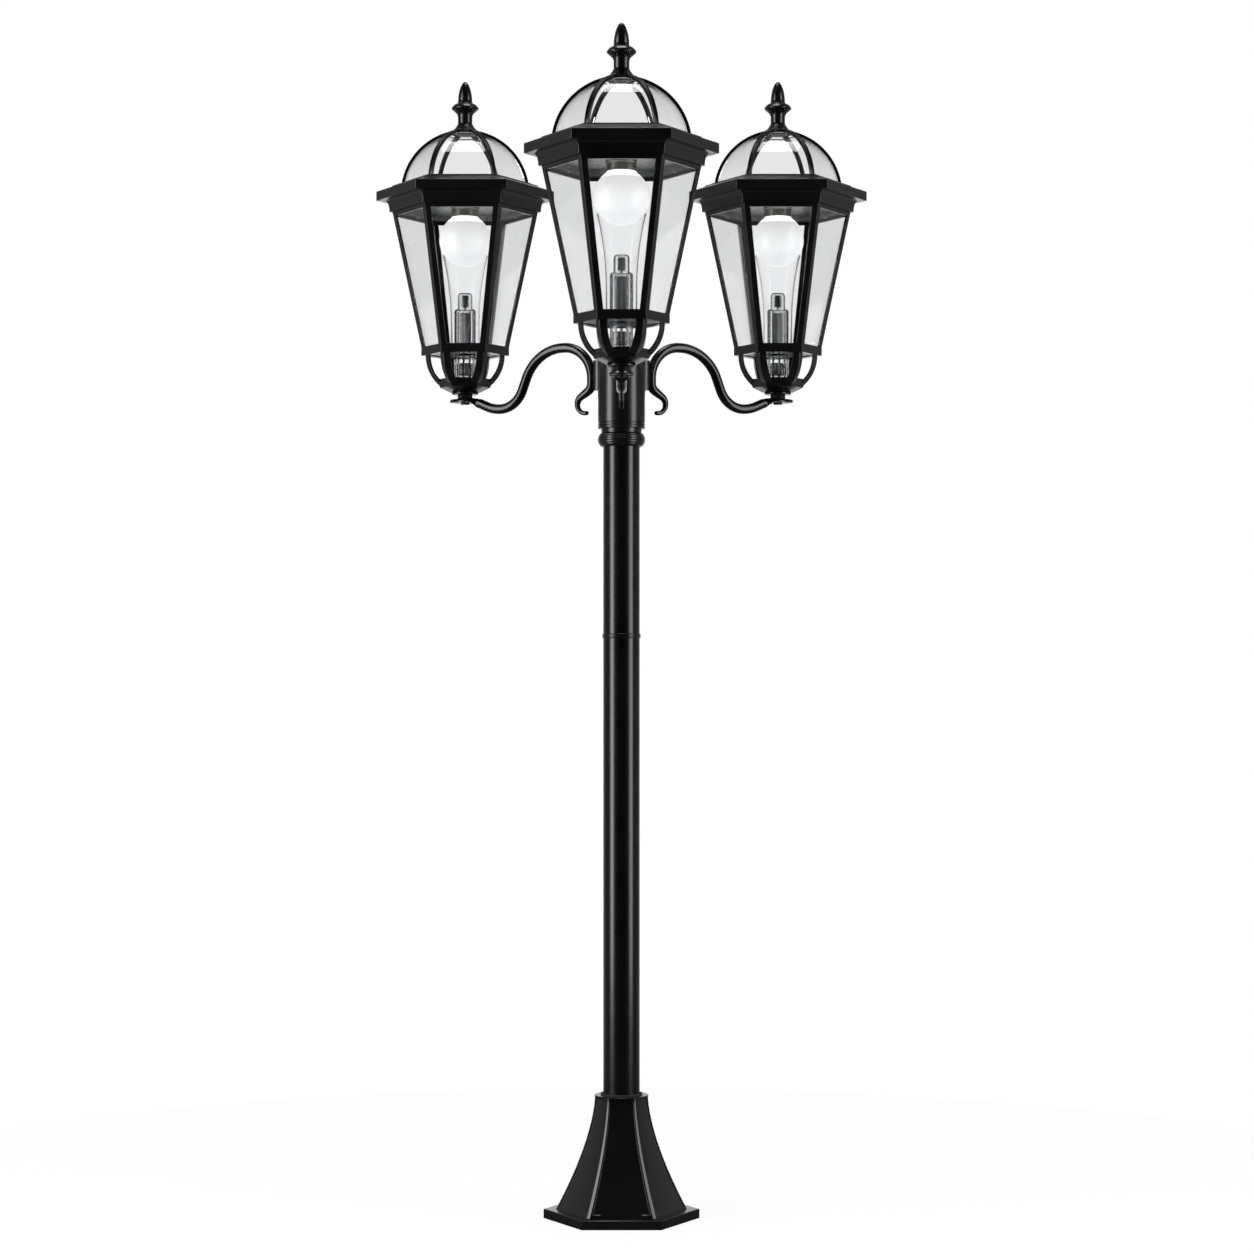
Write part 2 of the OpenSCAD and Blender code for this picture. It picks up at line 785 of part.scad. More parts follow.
// Basket: round foot, six-sided cup and the open bowed ribs that carry the cage
rib_top_r = ring_r - 8.5;
rib_foot = 14;
rib_run = rib_top_r - cup_top_r - rib_bow;
rib_curve = basket_h / sin(2 * atan(rib_run / basket_h));

module basket_rib() {
  rotate([90, 0, 0])
    linear_extrude(height = rib_w, center = true)
      intersection() {
        translate([rib_top_r - rib_curve, ring_z])
          difference() {
            circle(r = rib_curve, $fn = 96);
            circle(r = rib_curve - rib_t, $fn = 96);
          }
        translate([cup_low_r / 2, basket_z - rib_foot]) square([ring_r, basket_h + rib_foot]);
      }
}

module basket(side) color("#17181a") {
  at_head(side)
    difference() {
      union() {
        translate([0, 0, foot_z]) cylinder(h = foot_h, r = foot_r);
        six_sided([
          [foot_r - 1.5, under_z],
          [cup_low_r * flat, cup_z],
          [cup_top_r * flat, basket_z]
        ]);
        for (turn = CORNERS) rotate([0, 0, turn]) basket_rib();
      }
      six_sided([
        [cup_low_r * flat - cup_wall, cup_floor_z],
        [cup_low_r * flat - cup_wall, basket_z + over]
      ]);
      translate([0, 0, foot_z - over])
        cylinder(h = bolt_grip + 1 + over, r = seat_bolt_r + screw_slip);
    }
}

module basket_front() basket(FRONT);
module basket_right() basket(RIGHT);
module basket_left() basket(LEFT);

// Cage: lower ring, six angle posts and the upper rim, cast in one
module cage(side) color("#17181a") {
  window_z = cage_z + rebate / 2;
  at_head(side)
    difference() {
      six_sided([[ring_a, ring_z], [ring_a, cage_z], [cage_top_a, roof_z]]);
      six_sided([
        [ledge_a, ring_z - over],
        [ledge_a, floor_z],
        [ring_bore_a, floor_z],
        [ring_bore_a, sill_z],
        [ring_a - post_t - rebate * cage_slope, sill_z],
        [cage_a(head_z) - post_t, head_z],
        [rim_bore_a, head_z],
        [rim_bore_a, roof_z + over]
      ]);
      for (turn = FACES)
        on_face(
          turn,
          [[ledge_a, window_z], [eave_a, window_z], [eave_a, rim_z], [ledge_a, rim_z]],
          [
            [half_side(ring_a) - post_wing, window_z],
            [half_side(cage_a(rim_z)) - post_wing, rim_z],
            [post_wing - half_side(cage_a(rim_z)), rim_z],
            [post_wing - half_side(ring_a), window_z]
          ]
        );
    }
}

module cage_front() cage(FRONT);
module cage_right() cage(RIGHT);
module cage_left() cage(LEFT);

// Six clear panes that stand on the lower ring, behind the posts
pane_z = sill_z + slip;
pane_top_z = head_z - slip;
pane_cover = 4;

module cage_panes(side) color("#dfe6e6", 0.3) {
  low_a = ring_a + (pane_z - cage_z) * cage_slope - post_t - slip;
  top_a = cage_a(pane_top_z) - post_t - slip;
  low_half = half_side(cage_a(pane_z)) - post_wing + pane_cover;
  top_half = half_side(cage_a(pane_top_z)) - post_wing + pane_cover;
  at_head(side)
    for (turn = FACES)
      on_face(
        turn,
        [[low_a - pane_t, pane_z], [low_a, pane_z], [top_a, pane_top_z], [top_a - pane_t, pane_top_z]],
        [[low_half, pane_z], [top_half, pane_top_z], [-top_half, pane_top_z], [-low_half, pane_z]]
      );
}

module cage_panes_front() cage_panes(FRONT);
module cage_panes_right() cage_panes(RIGHT);
module cage_panes_left() cage_panes(LEFT);

// Sheet-metal floor in the lower ring: the column passes it and the chimney stands on it
module floor_plates() color("#9a9c9c") {
  for (side = HEADS)
    at_head(side)
      translate([0, 0, floor_z])
        difference() {
          six_sided([[ring_bore_a - slip, 0], [ring_bore_a - slip, sheet_t]]);
          translate([0, 0, -over]) cylinder(h = sheet_t + 2 * over, r = column_r + 1);
        }
}

// Fluted glass column that stands in the cup and reaches up inside the chimney
flute_r = 2.6;

module glass_column(side) color("#e4ebeb", 0.4) {
  at_head(side)
    translate([0, 0, cup_floor_z]) {
      difference() {
        cylinder(h = column_len, r = column_r);
        for (i = [0 : flute_count - 1])
          rotate([0, 0, (i + 0.5) * 360 / flute_count])
            translate([column_r + 1, 0, -over]) cylinder(h = column_len + 2 * over, r = flute_r);
      }
      translate([0, 0, column_len]) cylinder(h = column_top_len - 4, r = column_top_r);
      translate([0, 0, column_len + column_top_len - 4])
        cylinder(h = 4, r1 = column_top_r, r2 = column_top_r - 3);
    }
}

module glass_column_front() glass_column(FRONT);
module glass_column_right() glass_column(RIGHT);
module glass_column_left() glass_column(LEFT);

// Glass chimney: a straight tube that opens out under the bulb
chimney_steps = 10;
chimney_bell_z = chimney_z + chimney_tube_len;
function bell_r(t) = mix(chimney_r, chimney_rim_r, t * t);
bell = [for (i = [0 : chimney_steps]) i / chimney_steps];

module chimney(side) color("#e4ebeb", 0.35) {
  outside = [for (t = bell) [bell_r(t), mix(chimney_bell_z, chimney_rim_z, t)]];
  inside = [for (i = [chimney_steps : -1 : 0]) outside[i] - [chimney_wall, 0]];
  at_head(side)
    rotate_extrude()
      polygon(concat(
        [[chimney_r, chimney_z]],
        outside,
        inside,
        [[chimney_r - chimney_wall, chimney_z]]
      ));
}

module chimney_front() chimney(FRONT);
module chimney_right() chimney(RIGHT);
module chimney_left() chimney(LEFT);

// Round opal bulb with its neck in the socket
neck_top_z = pan_top_z - 5;

module bulb(side) color("#f6f6f2") {
  at_head(side)
    rotate_extrude()
      intersection() {
        translate([0, bulb_z - bulb_r]) square([bulb_r, neck_top_z - bulb_z + bulb_r]);
        difference() {
          union() {
            translate([0, bulb_z]) circle(r = bulb_r, $fn = 96);
            translate([0, bulb_z]) square([bulb_neck_r, neck_top_z - bulb_z]);
          }
          translate([0, bulb_z]) circle(r = bulb_r - bulb_wall, $fn = 96);
          translate([0, bulb_z]) square([bulb_neck_r - bulb_wall, neck_top_z - bulb_z + over]);
        }
      }
}

module bulb_front() bulb(FRONT);
module bulb_right() bulb(RIGHT);
module bulb_left() bulb(LEFT);

// Lamp sockets with the light-emitting post that stands inside the bulb
module lamp_sockets() color("#b9bcbc") {
  post_r = 7;
  for (side = HEADS)
    at_head(side) {
      difference() {
        translate([0, 0, socket_z]) cylinder(h = socket_h, r = socket_r);
        translate([0, 0, socket_z - over])
          cylinder(h = neck_top_z + slip - socket_z + over, r = bulb_neck_r + slip);
        translate([0, 0, bulb_z]) sphere(r = bulb_r + slip, $fn = 96);
      }
      translate([0, 0, bulb_z]) cylinder(h = pan_top_z - bulb_z, r = post_r);
    }
}

// Galvanised ceiling plates: a flat border, and a sunk middle that carries the socket
module ceiling_plates() color("#a9adad") {
  for (side = HEADS)
    at_head(side)
      difference() {
        union() {
          six_sided([[plate_a, pan_z], [plate_a, roof_z]]);
          six_sided([[pan_a + sheet_t, pan_z], [pan_a + sheet_t, pan_top_z + sheet_t]]);
        }
        six_sided([[pan_a, pan_z - over], [pan_a, pan_top_z]]);
        translate([0, 0, pan_top_z - over]) cylinder(h = sheet_t + 2 * over, r = lead_hole_r);
        for (turn = FACES)
          rotate([0, 0, turn])
            translate([roof_screw_a, 0, pan_z - over])
              cylinder(h = sheet_t + 2 * over, r = roof_screw_shank_r + screw_slip);
      }
}

// Small screws that hold each ceiling plate up against the roof's inner rim
module roof_screws() color("silver") {
  for (side = HEADS)
    at_head(side)
      for (turn = FACES)
        rotate([0, 0, turn])
          translate([roof_screw_a, 0, pan_z]) {
            translate([0, 0, -roof_screw_head_h])
              cylinder(h = roof_screw_head_h, r1 = roof_screw_head_r - 1.2, r2 = roof_screw_head_r);
            cylinder(h = sheet_t + roof_screw_len, r = roof_screw_shank_r);
          }
}

// Roof: cornice, eave, slope and deck as one hollow casting
cornice_steps = 6;
function cornice_a(t) = mix(cornice_low_a, cornice_top_a, 1 - sqrt(1 - t * t));

module roof(side) color("#17181a") {
  inner_a = cornice_low_a - 2 * roof_wall;
  slope_top_a = deck_a;
  at_head(side)
    difference() {
      six_sided(concat(
        [for (i = [0 : cornice_steps]) [cornice_a(i / cornice_steps), mix(roof_z, soffit_z, i / cornice_steps)]],
        [
          [eave_a, soffit_z],
          [eave_a, eave_top_z],
          [slope_top_a, eave_top_z + slope_h],
          [slope_top_a, deck_z]
        ]
      ));
      six_sided([
        [pan_a + sheet_t + slip, roof_z - over],
        [pan_a + sheet_t + slip, roof_z + roof_rim_t],
        [inner_a, roof_z + roof_rim_t],
        [inner_a, soffit_z + roof_wall],
        [eave_a - roof_wall, soffit_z + roof_wall],
        [eave_a - roof_wall, eave_top_z - roof_wall],
        [slope_top_a - roof_wall, eave_top_z + slope_h - roof_wall],
        [slope_top_a - roof_wall, deck_z - roof_wall]
      ]);
      for (turn = FACES)
        rotate([0, 0, turn])
          translate([roof_screw_a, 0, roof_z - over])
            cylinder(h = roof_screw_len + screw_slip + over, r = roof_screw_shank_r + screw_slip);
      translate([-knob_len / 2 - switch_travel - slip, knob_a - knob_w / 2 - slip, soffit_z - over])
        cube([knob_len + 2 * (switch_travel + slip), knob_w + 2 * slip, roof_wall + 2 * over]);
      translate([0, 0, deck_z - 2 * roof_wall]) cylinder(h = 3 * roof_wall, r = lead_hole_r);
    }
}

module roof_front() roof(FRONT);
module roof_right() roof(RIGHT);
module roof_left() roof(LEFT);

// Slide switch: a knob through the soffit with a flange that runs on top of it
module switch(side) color("#202124") {
  at_head(side) {
    translate([-knob_len / 2, knob_a - knob_w / 2, soffit_z - knob_drop])
      cube([knob_len, knob_w, knob_drop + roof_wall + slip + flange_t]);
    translate([-flange_len / 2, knob_a - flange_w / 2, flange_z])
      cube([flange_len, flange_w, flange_t]);
  }
}

module switch_front() switch(FRONT);
module switch_right() switch(RIGHT);
module switch_left() switch(LEFT);

// The switches' fixed halves, against the inside of the eave
module switch_bodies() color("#2a2c2e") {
  body_len = flange_len + 2 * switch_travel + 4;
  body_h = eave_top_z - roof_wall - slip - switch_body_z;
  body_out_a = eave_a - roof_wall - slip;
  for (side = HEADS)
    at_head(side)
      translate([-body_len / 2, body_out_a - 12, switch_body_z])
        cube([body_len, 12, body_h]);
}

// Battery trays with two cells each, on top of the ceiling plates
tray_t = 2;
tray_len = cell_len + 8;
tray_w = 4 * cell_r + 5;
tray_y = 14;

module batteries() color("#3c6e47") {
  for (side = HEADS)
    at_head(side)
      translate([0, tray_y, pan_top_z + sheet_t]) {
        translate([-tray_len / 2, 0, 0]) cube([tray_len, tray_w, tray_t]);
        for (x = [-tray_len / 2, tray_len / 2 - tray_t])
          translate([x, 0, tray_t]) cube([tray_t, tray_w, cell_r]);
        for (i = [0, 1])
          translate([-cell_len / 2, cell_r + 2 + i * (2 * cell_r + 1), tray_t + cell_r + 0.1])
            rotate([0, 90, 0]) cylinder(h = cell_len, r = cell_r);
      }
}

// Charge controllers on four stand-offs, beside the batteries
board_lift = 6;
board_t = 1.6;
board_y = -14;
chip_x = 12;
capacitor_x = 40;
plug_x = 58;

module circuit_boards() color("#1f5c3a") {
  for (side = HEADS)
    at_head(side)
      translate([-board_len / 2, board_y - board_w, pan_top_z + sheet_t]) {
        for (x = [5, board_len - 5], y = [5, board_w - 5])
          translate([x, y, 0]) cylinder(h = board_lift, r = 3);
        translate([0, 0, board_lift]) cube([board_len, board_w, board_t]);
        translate([chip_x, 10, board_lift + board_t]) cube([14, 14, 2]);
        translate([capacitor_x, 9, board_lift + board_t]) cylinder(h = 8, r = 5);
        translate([plug_x, 12, board_lift + board_t]) cube([12, 12, 6]);
      }
}

// Leads from the boards down to the sockets and up to the solar panels
module leads() color("#7a1f1f") {
  lead_r = 1.1;
  bend = 6;
  start_z = pan_top_z + sheet_t + board_lift + board_t;
  for (side = HEADS)
    at_head(side) {
      translate([-2, board_y - 4, start_z])
        rotate([0, 0, 90])
          walk(lead_r, [
            3,
            [bend, 90],
            4 - board_y - 2 * bend,
            [bend, 90],
            start_z + 3 - pan_top_z
          ]);
      translate([2, board_y - 4, start_z])
        rotate([0, 0, 90])
          walk(lead_r, [
            3,
            [bend, 90],
            4 - board_y - 2 * bend,
            [bend, -90],
            deck_z - start_z - 3 - 2 * bend
          ]);
    }
}

// Solar panel: a six-sided laminate on the roof's deck
module solar_panel(side) color("#1b2436") {
  at_head(side) six_sided([[solar_a, deck_z], [solar_a, deck_z + panel_t]]);
}

module solar_panel_front() solar_panel(FRONT);
module solar_panel_right() solar_panel(RIGHT);
module solar_panel_left() solar_panel(LEFT);

// Dome frame: foot ring, six curved ribs and the round crown
module dome_rib() {
  rotate([90, 0, 0])
    linear_extrude(height = dome_rib_w, center = true)
      intersection() {
        translate([0, dome_mid_z])
          difference() {
            circle(r = dome_r, $fn = 128);
            circle(r = dome_r - dome_rib_t, $fn = 128);
          }
        translate([dome_rib_start, deck_z]) square([dome_r, dome_r]);
      }
}

module dome_frame(side) color("#17181a") {
  at_head(side)
    difference() {
      union() {
        difference() {
          six_sided([[dome_ring_out_a, deck_z], [dome_ring_out_a, deck_z + dome_ring_h]]);
          six_sided([[dome_ring_in_a, deck_z - over], [dome_ring_in_a, deck_z + dome_ring_h + over]]);
        }
        for (turn = CORNERS) rotate([0, 0, turn]) dome_rib();
        translate([0, 0, dome_top_z - crown_t]) cylinder(h = crown_t, r = crown_r);
      }
      translate([0, 0, dome_top_z - crown_t - over])
        cylinder(h = crown_t + 2 * over, r = stud_r + screw_slip);
    }
}

module dome_frame_front() dome_frame(FRONT);
module dome_frame_right() dome_frame(RIGHT);
module dome_frame_left() dome_frame(LEFT);

// Dome panes: each bends one way, between two ribs, under the frame
dome_pane_steps = 12;
dome_pane_z = deck_z + dome_ring_h + slip;
dome_pane_low = asin((dome_pane_z - dome_mid_z) / dome_pane_r);
dome_pane_top = acos((crown_r + 2) / flat / dome_pane_r);
dome_pane_gap = 1.2;

function dome_pane_point(r, t) =
  let (rise = mix(dome_pane_low, dome_pane_top, t))
  [r * cos(rise) * flat, dome_mid_z + r * sin(rise)];

module dome_panes(side) color("#dfe6e6", 0.3) {
  steps = [for (i = [0 : dome_pane_steps]) i / dome_pane_steps];
  outside = [for (t = steps) dome_pane_point(dome_pane_r, t)];
  inside = [
    for (i = [dome_pane_steps : -1 : 0])
      let (p = dome_pane_point(dome_pane_r - dome_pane_t, steps[i]))
      [p[0], max(p[1], dome_pane_z)]
  ];
  far = dome_r;
  at_head(side)
    for (turn = FACES)
      rotate([0, 0, turn])
        intersection() {
          rotate([90, 0, 0])
            linear_extrude(height = 2 * far, center = true) polygon(concat(outside, inside));
          translate([0, 0, deck_z])
            linear_extrude(height = far)
              polygon([
                [2 * dome_pane_gap, 0],
                [far, half_side(far) - dome_pane_gap / flat],
                [far, dome_pane_gap / flat - half_side(far)]
              ]);
        }
}

module dome_panes_front() dome_panes(FRONT);
module dome_panes_right() dome_panes(RIGHT);
module dome_panes_left() dome_panes(LEFT);

// Finial: flared foot, neck, round-edged collar and blunt spire, with a stud into the crown
spire_z = finial_h * 0.558;
spire_steps = 10;

module finial(side) color("#141517") {
  spire_h = finial_h - spire_z;
  foot_h1 = 4.5;
  foot_h2 = 9;
  neck_low = 13;
  at_head(side)
    translate([0, 0, dome_top_z]) {
      rotate_extrude()
        polygon(concat(
          [
            [0, 0],
            [finial_foot_r, 0],
            [finial_foot_r, 1.5],
            [mix(finial_neck_r, finial_foot_r, 0.62), foot_h1],
            [mix(finial_neck_r, finial_foot_r, 0.26), foot_h2],
            [finial_neck_r, neck_low],
            [finial_neck_r, finial_h * 0.28],
            [mix(finial_neck_r, finial_collar_r, 0.15), finial_h * 0.335],
            [mix(finial_neck_r, finial_collar_r, 0.44), finial_h * 0.373],
            [mix(finial_neck_r, finial_collar_r, 0.79), finial_h * 0.41],
            [mix(finial_neck_r, finial_collar_r, 0.96), finial_h * 0.433],
            [finial_collar_r, finial_h * 0.448],
            [mix(finial_spire_r, finial_collar_r, 0.96), finial_h * 0.463],
            [mix(finial_spire_r, finial_collar_r, 0.86), finial_h * 0.485],
            [mix(finial_spire_r, finial_collar_r, 0.57), finial_h * 0.522],
            [mix(finial_spire_r, finial_collar_r, 0.15), finial_h * 0.548]
          ],
          [
            for (i = [0 : spire_steps])
              let (t = sin(90 * i / spire_steps))
              [finial_spire_r * pow(1 - t * t, 0.55), spire_z + spire_h * t]
          ]
        ));
      translate([0, 0, -crown_t]) cylinder(h = crown_t, r = stud_r);
    }
}

module finial_front() finial(FRONT);
module finial_right() finial(RIGHT);
module finial_left() finial(LEFT);

base_plate();
base_cover();
cover_ring();
lower_pole();
joint_ring();
upper_pole();
hub_collar();
hub();
hub_cap();
arm_front();
arm_right();
arm_left();
arm_screws();
set_screws();
seat_nuts();
seat_bolts();
floor_plates();
ceiling_plates();
roof_screws();
lamp_sockets();
batteries();
circuit_boards();
switch_bodies();
leads();
basket_front();
basket_right();
basket_left();
cage_front();
cage_right();
cage_left();
cage_panes_front();
cage_panes_right();
cage_panes_left();
glass_column_front();
glass_column_right();
glass_column_left();
chimney_front();
chimney_right();
chimney_left();
bulb_front();
bulb_right();
bulb_left();
roof_front();
roof_right();
roof_left();
switch_front();
switch_right();
switch_left();
solar_panel_front();
solar_panel_right();
solar_panel_left();
dome_frame_front();
dome_frame_right();
dome_frame_left();
dome_panes_front();
dome_panes_right();
dome_panes_left();
finial_front();
finial_right();
finial_left();
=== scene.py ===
# %% [markdown]
# # A garden lamp post with three solar lanterns
#
# The real lamp is a black cast-aluminium post, 2.18 m tall. A flared six-sided cover hides its
# foot, three scroll arms leave a hub near the top, and each arm carries a six-sided lantern with a
# glass dome. The CAD model is loaded first as a fixed frame. It says where everything is, so each
# piece made below is drawn in millimetres, around its own axis, and then set on the frame.

# %% Load the frame and the libraries
from math import acos, asin, atan, atan2, cos, degrees, pi, radians, sin, sqrt

import bmesh
import bpy
from mathutils import Matrix, Vector


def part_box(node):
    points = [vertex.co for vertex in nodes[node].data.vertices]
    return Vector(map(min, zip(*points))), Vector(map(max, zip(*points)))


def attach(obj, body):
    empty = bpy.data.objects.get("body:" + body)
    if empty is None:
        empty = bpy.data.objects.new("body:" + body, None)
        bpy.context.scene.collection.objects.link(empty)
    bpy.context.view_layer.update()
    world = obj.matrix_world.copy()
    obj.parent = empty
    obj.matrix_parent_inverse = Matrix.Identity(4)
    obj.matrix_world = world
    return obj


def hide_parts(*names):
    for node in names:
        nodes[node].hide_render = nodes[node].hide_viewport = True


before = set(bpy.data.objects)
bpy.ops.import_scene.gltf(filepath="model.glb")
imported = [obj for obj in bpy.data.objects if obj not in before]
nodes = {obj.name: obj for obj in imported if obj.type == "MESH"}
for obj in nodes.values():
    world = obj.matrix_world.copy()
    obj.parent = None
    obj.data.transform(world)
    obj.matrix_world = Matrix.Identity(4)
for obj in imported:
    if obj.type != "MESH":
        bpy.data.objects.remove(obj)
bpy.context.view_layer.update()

# %% [markdown]
# ## Measures that the frame gives
#
# The three lanterns are identical and none of them is turned, so one drawing serves all three. It
# is drawn around the point where the lantern stands on its arm. The lock nuts give that point's
# height, and the bulbs give the three places seen from above.

# %% The lanterns' places
MM = 0.001
FLAT = cos(radians(30))
SIDES = ("front", "right", "left")


def middle(node):
    """The middle of a CAD node's box, in millimetres."""
    low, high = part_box(node)
    return (low + high) / 2 / MM


SEAT_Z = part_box("seat_nuts")[0].z / MM
PLACES = {side: Vector((middle(f"bulb_{side}").x, middle(f"bulb_{side}").y, SEAT_Z)) for side in SIDES}
HEAD_X = PLACES["front"].xy.length
TURNS = {side: atan2(place.y, place.x) for side, place in PLACES.items()}
for side, place in PLACES.items():
    print(f"lantern {side}: {place.x:.1f}, {place.y:.1f}, seat at {place.z:.1f} mm")

# %% Heights of the post
HUB_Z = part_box("hub")[0].z / MM
HUB_TOP_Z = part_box("hub")[1].z / MM
JOINT_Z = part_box("lower_pole")[1].z / MM
POLE_END_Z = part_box("upper_pole")[1].z / MM
COVER_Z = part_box("base_cover")[0].z / MM
COVER_TOP_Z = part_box("base_cover")[1].z / MM
POLE_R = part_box("lower_pole")[1].x / MM
SLIP = 0.3
print(f"pole {2 * POLE_R:.1f} mm across, joint at {JOINT_Z:.1f}, hub from {HUB_Z:.1f} to {HUB_TOP_Z:.1f} mm")

# %% [markdown]
# ## Finishes
#
# A finish is a node material. Real cast aluminium under gloss paint is never one flat colour: the
# paint has a fine orange peel and its gloss changes slightly from place to place. Both come from
# noise that is read in Object coordinates, which are metres here, so a scale of 700 gives grains
# about 1.5 mm across. Colours could also come from images, but noise has no seams and no pixels.


# %% A helper for painted and plain surfaces
def noise(tree, scale, detail=3.0, roughness=0.5, stretch=(1, 1, 1)):
    """A noise texture in Object coordinates, stretched along an axis where asked."""
    place = tree.nodes.new("ShaderNodeTexCoord")
    mapping = tree.nodes.new("ShaderNodeMapping")
    texture = tree.nodes.new("ShaderNodeTexNoise")
    mapping.inputs["Scale"].default_value = stretch
    texture.inputs["Scale"].default_value = scale
    texture.inputs["Detail"].default_value = detail
    texture.inputs["Roughness"].default_value = roughness
    tree.links.new(place.outputs["Object"], mapping.inputs["Vector"])
    tree.links.new(mapping.outputs["Vector"], texture.inputs["Vector"])
    return texture.outputs["Fac"]


def ramp(tree, factor, low, high, start=0.3, stop=0.7):
    """Turns a factor into a colour between low and high."""
    node = tree.nodes.new("ShaderNodeValToRGB")
    node.color_ramp.elements[0].position = start
    node.color_ramp.elements[1].position = stop
    node.color_ramp.elements[0].color = (*low, 1)
    node.color_ramp.elements[1].color = (*high, 1)
    tree.links.new(factor, node.inputs["Fac"])
    return node.outputs["Color"]


def spread(tree, factor, low, high):
    """Turns a factor into a number between low and high."""
    node = tree.nodes.new("ShaderNodeMapRange")
    node.inputs["To Min"].default_value = low
    node.inputs["To Max"].default_value = high
    tree.links.new(factor, node.inputs["Value"])
    return node.outputs["Result"]


def bump(tree, height, depth, strength=1.0):
    """A bump map with a real depth in metres."""
    node = tree.nodes.new("ShaderNodeBump")
    node.inputs["Strength"].default_value = strength
    node.inputs["Distance"].default_value = depth
    tree.links.new(height, node.inputs["Height"])
    return node.outputs["Normal"]


def maths(tree, operation, first, second):
    """A Math node on a socket and a number, or on two sockets."""
    node = tree.nodes.new("ShaderNodeMath")
    node.operation = operation
    tree.links.new(first, node.inputs[0])
    if isinstance(second, float):
        node.inputs[1].default_value = second
    else:
        tree.links.new(second, node.inputs[1])
    return node.outputs[0]


def finish(
    name, low, high, gloss, patch=12, grain=700, depth=0.00003, metallic=0.0, stretch=(1, 1, 1), **sockets
):
    """A surface with slightly changing colour and gloss, and a fine grain."""
    material = bpy.data.materials.new(name)
    material.use_nodes = True
    tree = material.node_tree
    shader = tree.nodes["Principled BSDF"]
    shader.inputs["Metallic"].default_value = metallic
    patches = noise(tree, patch, stretch=stretch)
    tree.links.new(ramp(tree, patches, low, high), shader.inputs["Base Color"])
    tree.links.new(spread(tree, patches, *gloss), shader.inputs["Roughness"])
    if depth:
        tree.links.new(bump(tree, noise(tree, grain, 2.0), depth), shader.inputs["Normal"])
    for socket, value in sockets.items():
        shader.inputs[socket.replace("_", " ")].default_value = value
    return material


# %% Black paint, rubber and plain metals
black_casting = finish(
    "black_casting", (0.0012, 0.0012, 0.0013), (0.0026, 0.0026, 0.0028), (0.26, 0.34),
    Coat_Weight=0.4, Coat_Roughness=0.17
)
black_paint = finish(
    "black_paint", (0.0007, 0.0007, 0.0008), (0.0014, 0.0014, 0.0015), (0.24, 0.29), depth=0.00001,
    Coat_Weight=0.3, Coat_Roughness=0.15
)
soft_rubber = finish("soft_rubber", (0.010, 0.010, 0.010), (0.018, 0.018, 0.018), (0.65, 0.8), grain=1500)
bright_zinc = finish("bright_zinc", (0.55, 0.56, 0.57), (0.70, 0.71, 0.72), (0.25, 0.4), metallic=1.0)
dark_steel = finish("dark_steel", (0.012, 0.012, 0.013), (0.022, 0.022, 0.024), (0.3, 0.42), metallic=0.6)
print("finishes so far:", len(bpy.data.materials))

# %% [markdown]
# Galvanised sheet shows zinc crystals: flat grey patches, each a little lighter or darker than the
# next. A Voronoi texture gives every cell one random value, which is just that.


# %% Galvanised sheet and the socket's metal
def spangled(name, low, high, gloss, crystals, metallic=1.0):
    """Zinc crystals, each with its own grey and its own gloss."""
    material = finish(name, low, high, gloss, metallic=metallic, depth=0.00002, grain=300)
    tree = material.node_tree
    shader = tree.nodes["Principled BSDF"]
    place = tree.nodes.new("ShaderNodeTexCoord")
    cells = tree.nodes.new("ShaderNodeTexVoronoi")
    cells.inputs["Scale"].default_value = crystals
    tree.links.new(place.outputs["Object"], cells.inputs["Vector"])
    tint = tree.nodes.new("ShaderNodeSeparateColor")
    tree.links.new(cells.outputs["Color"], tint.inputs["Color"])
    tree.links.new(ramp(tree, tint.outputs["Red"], low, high, 0.1, 0.9), shader.inputs["Base Color"])
    tree.links.new(spread(tree, tint.outputs["Green"], *gloss), shader.inputs["Roughness"])
    return material


galvanised = spangled("galvanised", (0.24, 0.25, 0.26), (0.36, 0.37, 0.38), (0.30, 0.48), 160, metallic=0.8)
socket_metal = finish(
    "socket_metal", (0.30, 0.295, 0.27), (0.42, 0.415, 0.39), (0.3, 0.42), patch=40, metallic=0.8
)

# %% [markdown]
# Glass is the shader's transmission, on closed panes with a real thickness. Sheet glass is never
# quite flat, so a long, shallow noise bends its reflections a little. The opal bulb scatters light
# so strongly that it looks like a white, evenly glowing skin. The chimneys' refractive index is lower
# than real glass has, about 1.5, only because their outlines are so faint in the photograph.


# %% Clear glass and the opal bulb
def glass(name, tint, wave=9, depth=0.0006, roughness=0.0, ior=1.45):
    """Clear glass with a slight waviness."""
    material = bpy.data.materials.new(name)
    material.use_nodes = True
    tree = material.node_tree
    shader = tree.nodes["Principled BSDF"]
    shader.inputs["Base Color"].default_value = (*tint, 1)
    shader.inputs["Roughness"].default_value = roughness
    shader.inputs["IOR"].default_value = ior
    shader.inputs["Transmission Weight"].default_value = 1
    tree.links.new(bump(tree, noise(tree, wave, 1.0), depth, 0.5), shader.inputs["Normal"])
    return material


